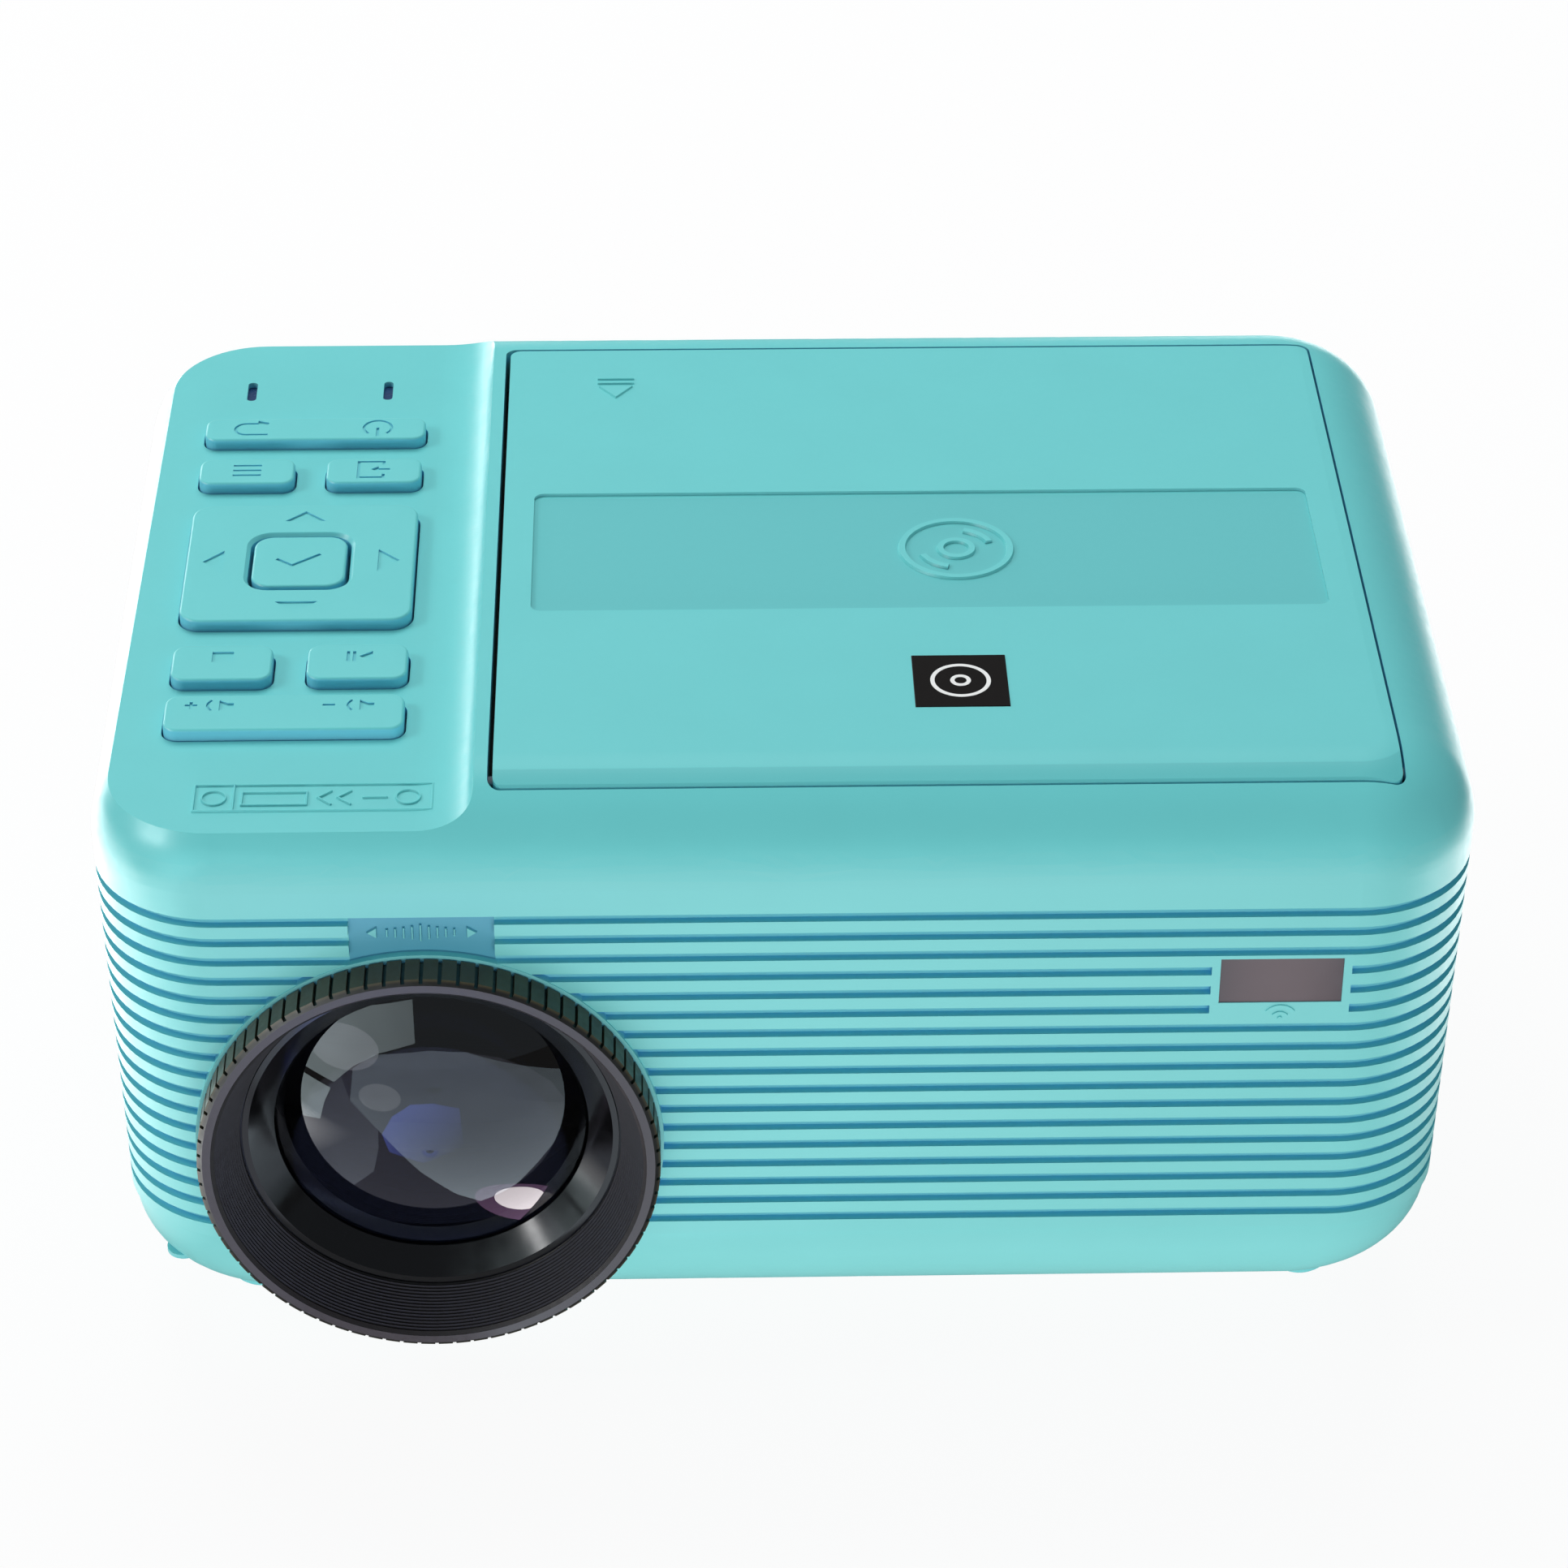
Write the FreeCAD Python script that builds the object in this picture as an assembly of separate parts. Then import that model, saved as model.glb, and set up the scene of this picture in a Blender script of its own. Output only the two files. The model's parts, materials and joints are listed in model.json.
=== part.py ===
import FreeCAD, Part
import math
import os

V = FreeCAD.Vector
X_AXIS = V(1, 0, 0)
Y_AXIS = V(0, 1, 0)
Z_AXIS = V(0, 0, 1)

# Portable projector with a top-loading disc player.  Millimetres, +Z up, lens towards -Y.
# The origin is the centre of the plan outline, focus ring included, at the level the feet stand on.

# ---- Housing -------------------------------------------------------------------------------------
HEIGHT = 100.0            # feet to lid plane
WIDTH = 200.0             # at the lid plane, before the draft
DEPTH = 146.3             # front face to back face at the lid plane
BODY_Y = 2.74             # centre of the housing; the focus ring stands out in front of it
DRAFT = 0.02              # every side leans in towards the bottom
CORNER_R = 18.0           # upright corners
TOP_R = 13.8              # rounding between top and sides
WALL = 2.4
HOUSING_WALL = 2.8        # ribbed housing, from the rib faces
PARTING_TOP = 81.5        # top cover / ribbed housing, hidden in the first groove
PARTING_BASE = 22.6       # ribbed housing / bottom cover

# ---- Grooves round the housing -------------------------------------------------------------------
GROOVES = 17
GROOVE_PITCH = 3.446
GROOVE_HEIGHT = 1.45
GROOVE_DEPTH = 1.3

# ---- Bottom cover --------------------------------------------------------------------------------
BASE_Z = 1.5              # underside of the base
BASE_STEP = 0.5           # the base sits this far inside the ribs
BASE_ROUND = 24.0         # how far the bottom rounding reaches in
BASE_CORNER_LOSS = 9.0    # how much the upright corner radius shrinks on the way down
FOOT_X = 80.0
FOOT_Y = (-48.5, 52.0)
FOOT_R = 4.6
BODY_POSTS = [(-90.5, -59.0), (-90.5, 56.0), (90.5, 56.0), (90.5, -56.0)]
TRIPOD_R = 2.55           # bore of the 1/4 inch tripod thread
TRIPOD_TOP = 10.5

# ---- Control panel, a shallow ledge left of the lid ----------------------------------------------
PANEL_Y = -66.7           # where the ledge is PANEL_Z high
PANEL_Z = 94.5
PANEL_SLOPE = 0.01014     # the ledge climbs slightly towards the back
PANEL_WALL = 2.2
RAMP_TOP_X = -44.3        # the ledge ends in a hollow quarter ellipse up to the lid plane
RAMP_REACH = 8.3
RAMP_RISE = 4.2
KEY_RISE = 1.85
KEY_TRAVEL = 0.8
KEY_GAP = 0.3
KEY_EDGE_R = 0.45
KEY_SKIRT = 4.6           # key caps reach this far below the ledge
KEYBOARD_W = 8.4          # key board's top face below the ledge
MEMBRANE_TOP = -7.4       # heights below are measured from the ledge
DOME_TOP = -6.6
KEYS = {                  # x0, x1, y0, y1, corner radius
    "power_key": (-89.6, -54.8, 38.5, 45.1, 2.0),
    "menu_key": (-89.6, -74.8, 25.1, 32.5, 2.0),
    "source_key": (-69.8, -55.0, 25.1, 32.5, 2.0),
    "dpad_plate": (-89.7, -55.0, -14.7, 18.4, 3.2),
    "ok_key": (-79.6, -65.4, -5.1, 9.1, 3.0),
    "stop_key": (-89.7, -74.9, -30.7, -21.4, 2.2),
    "play_key": (-69.8, -55.0, -30.7, -21.4, 2.2),
    "volume_key": (-89.8, -55.0, -44.0, -34.8, 2.2),
}
OK_WELL = (-80.2, -64.8, -5.8, 9.8, 3.4)
OK_BEVEL = 0.55
ROCKER_AXIS = -6.8        # fulcrum of the two long rocker keys
ROCKER_R = 0.6
ROCKER_DOME_X = 14.0      # each way from the fulcrum
GIMBAL_AXIS = -5.6        # both tilt axes of the direction plate
GIMBAL_PIN_R = 0.6
GIMBAL_HALF = 12.2
GIMBAL_BAR = 2.6
GIMBAL_SEAT = (12.5, 13.4)
DPAD_DOME = 15.2          # each way from the middle of the plate
DPAD_WAYS = ((1, 0), (-1, 0), (0, 1), (0, -1))
LED_X = (-83.3, -61.4)
LED_Y = 56.8
KEYBOARD_POSTS = [(-92.2, 51.5), (-52.2, 51.5), (-92.2, -50.0), (-52.2, -50.0)]

# ---- Lid and disc deck ---------------------------------------------------------------------------
LID = (-41.6, 87.5, -62.6, 61.9)
LID_OPENING = (-42.35, 87.9, -62.95, 62.4)
LID_WALL = 2.3
LID_CORNER_R = 1.8
LID_FRONT_R = 1.5         # the hinged edge is rounded, so that it clears the frame as it turns
STRIP = (-37.0, 82.1, -17.8, 16.4)
STRIP_DEPTH = 0.45
HINGE_Y = -59.0
HINGE_Z = 97.0
HINGE_PIN_R = 0.9
HINGE_BITE = 1.4          # how far each pin goes into the frame
HINGE_LUG_R = 1.9
HINGE_LUG = 4.0
HINGE_LUGS = (LID[0] + 1.4, LID[1] - 5.4)
LATCH_X = -24.5
LATCH_Y = 58.6
RUNNING = 0.05            # radial clearance of every pin, rod and shaft that turns or slides
DISC_X = 22.95
DISC_Y = -0.15
WELL_R = 60.9             # a 120 mm disc with a little room round it
WELL_FLOOR = 89.5
DECK_TOP = 93.0
DECK_PLATE = 2.0
DECK_CORNER_R = 7.0
HUB_R = 7.35              # a 15 mm disc hole snaps over it
TURNTABLE_R = 15.0
TURNTABLE_TOP = 91.2
SLED_Z = 83.0             # guide rods
SLED_REST_X = 24.0        # objective to spindle at the inner end of travel
SLED_TRAVEL = 33.0
SLED_NOSE = 3.1           # head beyond the objective, towards the disc's edge
SLOT_END = 60.6
SLOT_HALF = 8.5
ROD_R = 1.5
ROD_Y = 20.0
SCREW_Y = -28.5
GROMMETS = [(DISC_X + dx, DISC_Y + dy) for dx in (-20.0, 52.0) for dy in (36.0, -36.0)]
CHASSIS_Z = 77.6
CHASSIS_SHEET = 1.4
GROMMET_TOP = 82.0

# ---- Lens and focus ------------------------------------------------------------------------------
LENS_X = -52.1
LENS_Z = 40.66
RING_R = 33.7
RING_REAR = -70.26
RING_FRONT = -75.63
RING_CHAMFER = (0.8, 0.6)
RING_RIM = 1.2            # flat front rim
RING_TEETH = 80
FLUTE_WIDTH = 0.55
FLUTE_DEPTH = 0.55
CONE_DEPTH = 7.7
CONE_END_R = 27.9
COLLAR_R = 34.2
COLLAR_FACE = -69.96
SLEEVE_R = 31.0
BARREL_R = 27.6
GUIDE_WALL = 1.6
FLANGE_Y = -51.5
LUG_ANGLES = (195, 270, 345)
LUG_R = 36.2
PIN_R = 1.5
PIN_Y = -59.7
PIN_ANGLES = (30, 150, 270)
FOCUS_TRAVEL = 2.5        # each way
FOCUS_TURN = 45.0         # degrees each way
GLASS_R = 23.1            # visible radius of the front glass
GLASS_EDGE_Y = -64.9
GLASS_CURVE = 42.0
FOCUS_PAD = (-62.45, -41.7)

# ---- Infrared window -----------------------------------------------------------------------------
IR_WINDOW = (62.2, 79.95, 64.7, 72.55)
IR_LAND = (60.95, 81.15, 60.83, 73.16)
IR_Z = 68.6

# ---- Light engine and cooling --------------------------------------------------------------------
BOX_HALF_X = 36.0
BOX_HALF_Z = 25.0
BOX_FRONT = -31.0
BOX_BACK = 30.0
PLATE_HALF = (33.8, 22.8)
PLATE_THICK = 3.0
PLATE_Y = (-16.0, -5.0, 6.0)     # field lens, picture panel, fresnel lens
FAN_SIZE = 50.0
FAN_BORE = 23.4
FAN_Y = (58.0, 68.0)
SPEAKER_Y = (-22.5, 16.0)
SPEAKER_Z = 38.0
SPEAKER_FACE = 94.6

# ---- Rear sockets --------------------------------------------------------------------------------
MAIN_BOARD_Z = 58.0
POWER_BOARD_Z = 10.0
BOARD = 1.6
MAIN_POSTS = [(0.0, -50.0), (80.0, -50.0), (0.0, 52.0), (80.0, 46.0)]
POWER_POSTS = [(14.0, -34.0), (68.0, -34.0), (14.0, 40.0), (68.0, 40.0)]
BOARD_POSTS = [(x, y, MAIN_BOARD_Z) for x, y in MAIN_POSTS]
BOARD_POSTS += [(x, y, POWER_BOARD_Z) for x, y in POWER_POSTS]
REAR = 73.4               # outer face of the rear plate
HDMI_X = 8.0
USB_X = 34.0
JACKS_X = (54.0, 68.0)
IO_PLATE = (-6.0, 84.0, 53.5, 71.5)
INLET = (60.0, 78.0, 32.0, 43.0)

parts = {}


# ---- Shape helpers -------------------------------------------------------------------------------
def box(x0, x1, y0, y1, z0, z1):
    return Part.makeBox(x1 - x0, y1 - y0, z1 - z0, V(x0, y0, z0))


def rounded_wire(x0, x1, y0, y1, r, z):
    """A rectangle with four equal round corners, at height z."""
    k = r * (1 - math.sqrt(0.5))
    e = []
    corners = [
        (V(x1 - r, y0, z), V(x1 - k, y0 + k, z), V(x1, y0 + r, z)),
        (V(x1, y1 - r, z), V(x1 - k, y1 - k, z), V(x1 - r, y1, z)),
        (V(x0 + r, y1, z), V(x0 + k, y1 - k, z), V(x0, y1 - r, z)),
        (V(x0, y0 + r, z), V(x0 + k, y0 + k, z), V(x0 + r, y0, z)),
    ]
    for i, (a, b, c) in enumerate(corners):
        e.append(Part.Arc(a, b, c).toShape())
        e.append(Part.makeLine(c, corners[(i + 1) % 4][0]))
    return Part.Wire(e)


def slab(rect, r, z0, z1):
    """An upright prism with rounded corners; rect is x0, x1, y0, y1."""
    return Part.Face(rounded_wire(*rect, r, z0)).extrude(V(0, 0, z1 - z0))


def grow(rect, d):
    return (rect[0] - d, rect[1] + d, rect[2] - d, rect[3] + d)


def cyl(r, start, end):
    """A round bar from one point to another."""
    way = V(*end) - V(*start)
    return Part.makeCylinder(r, way.Length, V(*start), way)


def revolve(points, base, axis, radial):
    """Turn a closed outline of (radius, distance along the axis) points about an axis."""
    pts = [V(*base) + radial * r + axis * a for r, a in points]
    face = Part.Face(Part.makePolygon(pts + [pts[0]]))
    return face.revolve(V(*base), axis, 360)


def lens_turn(points):
    """Turn (radius, y) points about the lens axis."""
    return revolve(points, (LENS_X, 0, LENS_Z), Y_AXIS, X_AXIS)


def upright_turn(x, y, points):
    """Turn (radius, z) points about an upright axis."""
    return revolve(points, (x, y, 0), Z_AXIS, X_AXIS)


def lens_cyl(r, y0, y1):
    return cyl(r, (LENS_X, y0, LENS_Z), (LENS_X, y1, LENS_Z))


def around_lens(shape, degrees):
    turned = shape.copy()
    turned.rotate(V(LENS_X, 0, LENS_Z), Y_AXIS, degrees)
    return turned


def onto_panel(shape):
    """Move a shape drawn on a level panel at z = 0 onto the sloping control panel."""
    placed = shape.copy()
    placed.translate(V(0, 0, panel_z(0)))
    placed.rotate(V(0, 0, panel_z(0)), X_AXIS, math.degrees(math.atan(PANEL_SLOPE)))
    return placed


def panel_z(y):
    return PANEL_Z + PANEL_SLOPE * (y - PANEL_Y)


# ---- The drafted outer form ----------------------------------------------------------------------
def outline(z, inset, corner=CORNER_R):
    """The housing's outline at height z, moved inwards by inset."""
    lean = DRAFT * (HEIGHT - z) + inset
    hx = WIDTH / 2 - lean
    hy = DEPTH / 2 - lean
    return rounded_wire(-hx, hx, BODY_Y - hy, BODY_Y + hy, max(corner - inset, 3.0), z)


def ring_slab(z0, z1, inset):
    return Part.makeLoft([outline(z0, inset), outline(z1, inset)], True, True)


def top_form(inset):
    """The upper body above the first groove, with its rounded top edge, moved inwards by inset."""
    solid = ring_slab(PARTING_TOP, HEIGHT - inset, inset)
    top = [e for e in solid.Edges if all(abs(v.Z - HEIGHT + inset) < 1e-4 for v in e.Vertexes)]
    return solid.makeFillet(TOP_R - inset, top)


def panel_cutter(drop, shift):
    """The space above the control panel: a flat floor that sweeps up to the lid plane."""
    rise = 12.0
    left = -120.0
    foot = V(RAMP_TOP_X - RAMP_REACH + shift, 0, 0)
    centre = foot + V(0, 0, RAMP_RISE)
    end = centre + V(RAMP_REACH, 0, 0)
    ellipse = Part.Ellipse(end, centre + V(0, 0, RAMP_RISE), centre)
    edges = [
        Part.makeLine(V(left, 0, 0), foot),
        Part.ArcOfEllipse(ellipse, math.radians(270), math.radians(360)).toShape(),
        Part.makeLine(end, V(end.x, 0, rise)),
        Part.makeLine(V(end.x, 0, rise), V(left, 0, rise)),
        Part.makeLine(V(left, 0, rise), V(left, 0, 0)),
    ]
    cutter = Part.Face(Part.Wire(edges)).extrude(V(0, 260, 0))
    cutter.translate(V(0, -130, -drop))
    return onto_panel(cutter)


# ---- Housing -------------------------------------------------------------------------------------
def make_top_cover():
    shell = top_form(0).cut(panel_cutter(0, 0))
    hollow = top_form(WALL).cut(panel_cutter(PANEL_WALL, PANEL_WALL * 0.7))
    shell = shell.cut(hollow)
    frame = slab(grow(LID_OPENING, 2.0), LID_CORNER_R + 2.0, DECK_TOP, HEIGHT)
    shell = shell.fuse(frame.common(top_form(0.5)).cut(panel_cutter(0, 0)))
    shell = shell.cut(slab(LID_OPENING, LID_CORNER_R, DECK_TOP - 1, HEIGHT + 1))
    for name, rect in KEYS.items():
        if name != "ok_key":
            hole = slab(grow(rect[:4], KEY_GAP), rect[4] + KEY_GAP, -PANEL_WALL - 2, 2)
            shell = shell.cut(onto_panel(hole))
    for x in LED_X:
        shell = shell.cut(onto_panel(led_slot(x, -PANEL_WALL - 2, 2)))
    for x in (LID_OPENING[0] - HINGE_BITE, LID_OPENING[1]):
        shell = shell.cut(cyl(HINGE_PIN_R, (x, HINGE_Y, HINGE_Z), (x + HINGE_BITE, HINGE_Y, HINGE_Z)))
    for x, y in KEYBOARD_POSTS:
        post = Part.makeCylinder(2.2, KEYBOARD_W - PANEL_WALL, V(x, y, -KEYBOARD_W))
        shell = shell.fuse(onto_panel(post))
    for tab in snap_tabs():
        shell = shell.fuse(tab)
    return shell.removeSplitter()


def snap_tabs():
    """Tongues inside the rim that snap down into the ribbed housing."""
    tabs = []
    hx = WIDTH / 2 - DRAFT * (HEIGHT - PARTING_TOP)
    rim = hx - WALL + 0.1
    leg = hx - HOUSING_WALL - 0.1
    for side in (-1, 1):
        for y in (-30.0, 0.0, 30.0):
            for x, low in ((rim, PARTING_TOP + 0.1), (leg, PARTING_TOP - 5.0)):
                x0, x1 = sorted((side * x, side * (leg - 1.2)))
                tabs.append(box(x0, x1, y - 5.0, y + 5.0, low, PARTING_TOP + 3.0))
    return tabs


def led_slot(x, z0, z1):
    return slab((x - 0.75, x + 0.75, LED_Y - 2.9, LED_Y + 2.9), 0.7, z0, z1)


def groove_top(k):
    return PARTING_TOP - GROOVE_PITCH * k


def make_ribbed_housing():
    core = ring_slab(PARTING_BASE, PARTING_TOP, GROOVE_DEPTH)
    pad = box(FOCUS_PAD[0], FOCUS_PAD[1], -100, -50, LENS_Z, PARTING_TOP)
    ribs = []
    for k in range(GROOVES):
        low = groove_top(k + 1) if k < GROOVES - 1 else PARTING_BASE
        rib = ring_slab(low, groove_top(k) - GROOVE_HEIGHT, 0)
        ribs.append(rib.cut(pad))
    front = (-100.0, -50.0)
    land = box(IR_LAND[0], IR_LAND[1], *front, IR_LAND[2], IR_LAND[3])
    ribs.append(ring_slab(IR_LAND[2], IR_LAND[3], 0).common(land))
    io_land = box(IO_PLATE[0] - 2, IO_PLATE[1] + 2, 60, 100, IO_PLATE[2] - 2, IO_PLATE[3] + 2)
    ribs.append(ring_slab(IO_PLATE[2] - 2, IO_PLATE[3] + 2, 0).common(io_land))
    inlet_land = box(INLET[0] - 3, INLET[1] + 3, 60, 100, INLET[2] - 3, INLET[3] + 3)
    ribs.append(ring_slab(INLET[2] - 3, INLET[3] + 3, 0).common(inlet_land))
    shell = core.fuse(ribs)
    hollow = ring_slab(PARTING_BASE - 0.5, PARTING_TOP + 0.5, HOUSING_WALL)
    shell = shell.cut(hollow)
    shell = shell.fuse(lens_cyl(COLLAR_R, COLLAR_FACE, FLANGE_Y))
    shell = shell.cut(lens_cyl(SLEEVE_R + 0.3, -100, FLANGE_Y + 1))
    for a in LUG_ANGLES:
        lug = around_lens(cyl(3.0, (LENS_X + LUG_R, -62.0, LENS_Z), (LENS_X + LUG_R, FLANGE_Y, LENS_Z)), a)
        shell = shell.fuse(lug.cut(lens_cyl(COLLAR_R - 1, -100, 0)))
    for a in LUG_ANGLES:
        shell = shell.cut(lens_screw(a))
    shell = shell.cut(box(IR_WINDOW[0], IR_WINDOW[1], *front, IR_WINDOW[2], IR_WINDOW[3]))
    shell = shell.cut(box(IO_PLATE[0], IO_PLATE[1], 60, 100, IO_PLATE[2], IO_PLATE[3]))
    shell = shell.cut(box(INLET[0], INLET[1], 60, 100, INLET[2], INLET[3]))
    shell = shell.cut(Part.makeCompound(vent_slots()))
    for x, y in BODY_POSTS:
        shell = shell.fuse(Part.makeCylinder(3.2, 16.0, V(x, y, PARTING_BASE)))
    for x, y in BODY_POSTS:
        shell = shell.cut(Part.makeCylinder(1.3, 14.0, V(x, y, PARTING_BASE - 1)))
    for y in SPEAKER_Y:
        seat = cyl(18.5, (SPEAKER_FACE, y, SPEAKER_Z), (97.5, y, SPEAKER_Z))
        seat = seat.cut(cyl(16.5, (SPEAKER_FACE - 1, y, SPEAKER_Z), (99, y, SPEAKER_Z)))
        shell = shell.fuse(seat.common(box(90, 100, -60, 60, PARTING_BASE, 80)))
    for x in (59.9, 80.3):                                  # ribs that carry the infrared board
        shell = shell.fuse(box(x, x + 2.0, front_y(IR_Z) + 1.6, front_y(IR_Z) + 6.9, 66.0, 72.0))
    return shell.removeSplitter()


def vent_slots():
    """Air and sound slots through the groove floors, where fingers and eyes miss them."""
    slots = []
    for k in range(7, 16):
        z0 = groove_top(k) - GROOVE_HEIGHT
        z1 = groove_top(k)
        for i in range(3):                                  # hot air leaves behind the lens
            x0 = LENS_X - 25.0 + 17.5 * i
            slots.append(box(x0, x0 + 15.0, 70, 80, z0, z1))
    for k in range(8, 15):
        z0 = groove_top(k) - GROOVE_HEIGHT
        z1 = groove_top(k)
        for i in range(2):                                  # cool air enters on the left
            y0 = -20.0 + 22.0 * i
            slots.append(box(-105, -90, y0, y0 + 18.0, z0, z1))
        for y in SPEAKER_Y:                                 # sound leaves on the right
            slots.append(box(90, 105, y - 11.0, y + 11.0, z0, z1))
    return slots


def base_form(inset, floor):
    """The bowl of the base: straight rim, then one large rounding into the flat bottom."""
    wires = []
    for t in (0, 18, 36, 54, 70, 82, 90):
        a = math.radians(t)
        z = PARTING_BASE - (PARTING_BASE - floor) * math.sin(a)
        reach = (BASE_ROUND - inset) * (1 - math.cos(a))
        corner = CORNER_R - BASE_STEP - inset - BASE_CORNER_LOSS * (1 - math.cos(a))
        lean = DRAFT * (HEIGHT - PARTING_BASE) + BASE_STEP + inset + reach
        hx = WIDTH / 2 - lean
        hy = DEPTH / 2 - lean
        wires.append(rounded_wire(-hx, hx, BODY_Y - hy, BODY_Y + hy, corner, z))
    return Part.makeLoft(wires, True, False)


def make_bottom_cover():
    shell = base_form(0, BASE_Z).cut(base_form(WALL, BASE_Z + WALL))
    shell = shell.cut(lens_cyl(COLLAR_R + 0.3, -90, FLANGE_Y + 2.0))
    for x, y in BODY_POSTS:
        post = Part.makeCylinder(4.4, PARTING_BASE - BASE_Z, V(x, y, BASE_Z))
        post = post.common(base_form(0.3, BASE_Z + 0.3))
        shell = shell.fuse(post)
    for x, y in BODY_POSTS:
        shell = shell.cut(Part.makeCylinder(1.6, 40, V(x, y, -1)))
        shell = shell.cut(Part.makeCylinder(3.0, PARTING_BASE - 8.0, V(x, y, -1)))
    for x, y, top in BOARD_POSTS:
        shell = shell.fuse(Part.makeCylinder(2.6, top - BASE_Z - 1, V(x, y, BASE_Z + 1)))
    shell = shell.fuse(upright_turn(0, 0, [(0, BASE_Z + 0.5), (9.0, BASE_Z + 0.5), (7.0, 14.0), (0, 14.0)]))
    shell = shell.cut(Part.makeCylinder(4.5, 10.0, V(0, 0, BASE_Z - 1)))
    shell = shell.cut(Part.makeCompound(foot_solids()))
    for i in range(7):                                      # intake under the light engine
        x0 = LENS_X - 20.0 + 7.0 * i
        shell = shell.cut(slab((x0, x0 + 3.0, 0.0, 36.0), 1.4, 0, BASE_Z + WALL + 1))
    return shell.removeSplitter()


def foot_solids():
    feet = []
    for x in (-FOOT_X, FOOT_X):
        for y in FOOT_Y:
            foot = [(0, 0), (FOOT_R - 0.6, 0), (FOOT_R, 0.6), (FOOT_R, 3.4), (0, 3.4)]
            feet.append(upright_turn(x, y, foot))
    return feet


def make_base_screws():
    screws = []
    for x, y in BODY_POSTS:
        head = PARTING_BASE - 9.0
        screws.append(upright_turn(x, y, [
            (0, head - 1.8), (2.6, head - 1.8), (2.6, head), (1.3, head), (1.3, PARTING_BASE + 12.0),
            (0, PARTING_BASE + 12.0)]))
    return Part.makeCompound(screws)


def make_tripod_insert():
    profile = [(TRIPOD_R, BASE_Z), (4.5, BASE_Z), (4.5, TRIPOD_TOP), (TRIPOD_R, TRIPOD_TOP)]
    return upright_turn(0, 0, profile)


# ---- Lid -----------------------------------------------------------------------------------------
def make_disc_lid():
    lid = top_form(0).common(slab(LID, LID_CORNER_R, 90, HEIGHT + 1)).cut(top_form(LID_WALL))
    lid = lid.cut(slab(STRIP, 1.6, HEIGHT - STRIP_DEPTH, HEIGHT + 1)).cut(lid_front_rounding())
    under = HEIGHT - LID_WALL
    for i in range(3):                                      # stiffening rings round the hub
        r = 14.0 + 18.0 * i
        rib = [(r, under - 1.2), (r + 1, under - 1.2), (r + 1, under), (r, under)]
        lid = lid.fuse(upright_turn(DISC_X, DISC_Y, rib))
    low = HINGE_Z - HINGE_LUG_R
    back = HINGE_Y + 4.5
    for x in HINGE_LUGS:
        lug = cyl(HINGE_LUG_R, (x, HINGE_Y, HINGE_Z), (x + HINGE_LUG, HINGE_Y, HINGE_Z))
        web = box(x, x + HINGE_LUG, HINGE_Y, back, low, under + 0.3)
        web = web.cut(cyl(2.6, (x - 1, back, low), (x + HINGE_LUG + 1, back, low)))
        lid = lid.fuse(lug.fuse(web))
    for x0, x1 in ((LID[0] - 1, HINGE_LUGS[0] + 5), (HINGE_LUGS[1] - 1, LID[1] + 1)):
        lid = lid.cut(cyl(HINGE_PIN_R + RUNNING, (x0, HINGE_Y, HINGE_Z), (x1, HINGE_Y, HINGE_Z)))
    tongue = box(LATCH_X - 4, LATCH_X + 4, LATCH_Y - 0.8, LATCH_Y + 0.8, 90.5, under + 0.2)
    bead = cyl(0.5, (LATCH_X - 4, LATCH_Y - 0.8, 91.6), (LATCH_X + 4, LATCH_Y - 0.8, 91.6))
    lid = lid.fuse(tongue.fuse(bead))
    return lid.removeSplitter()


def lid_front_rounding():
    """What the rounded front edge of the lid leaves out; the arc meets the top rounding smoothly."""
    front = LID[2]
    top_y = BODY_Y - DEPTH / 2 + TOP_R
    top_z = HEIGHT - TOP_R
    cy = front + LID_FRONT_R
    cz = top_z + math.sqrt((TOP_R - LID_FRONT_R) ** 2 - (top_y - cy) ** 2)
    touch = cy - (top_y - cy) * LID_FRONT_R / (TOP_R - LID_FRONT_R)
    waste = box(LID[0] - 1, LID[1] + 1, front - 5, touch, cz, HEIGHT + 1)
    return waste.cut(cyl(LID_FRONT_R, (LID[0] - 2, cy, cz), (LID[1] + 2, cy, cz)))


def make_lid_hinge_pins():
    pins = []
    ends = (
        (LID_OPENING[0] - HINGE_BITE, HINGE_LUGS[0] + HINGE_LUG - 0.4),
        (HINGE_LUGS[1] + 0.4, LID_OPENING[1] + HINGE_BITE),
    )
    for x0, x1 in ends:
        pins.append(cyl(HINGE_PIN_R, (x0, HINGE_Y, HINGE_Z), (x1, HINGE_Y, HINGE_Z)))
    return Part.makeCompound(pins)


def make_latch_clip():
    """A folded spring-steel clip under the deck that grips the lid's tongue."""
    leaf = 0.5
    gap = 1.75
    base = box(LATCH_X - 3.5, LATCH_X + 3.5, LATCH_Y - gap - leaf, LATCH_Y + 1.1 + leaf, 87.0, 87.0 + leaf)
    front = box(LATCH_X - 3.5, LATCH_X + 3.5, LATCH_Y - gap - leaf, LATCH_Y - gap, 87.0, 91.0)
    back = box(LATCH_X - 3.5, LATCH_X + 3.5, LATCH_Y + 1.1, LATCH_Y + 1.1 + leaf, 87.0, 91.0)
    return base.fuse([front, back]).removeSplitter()


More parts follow.
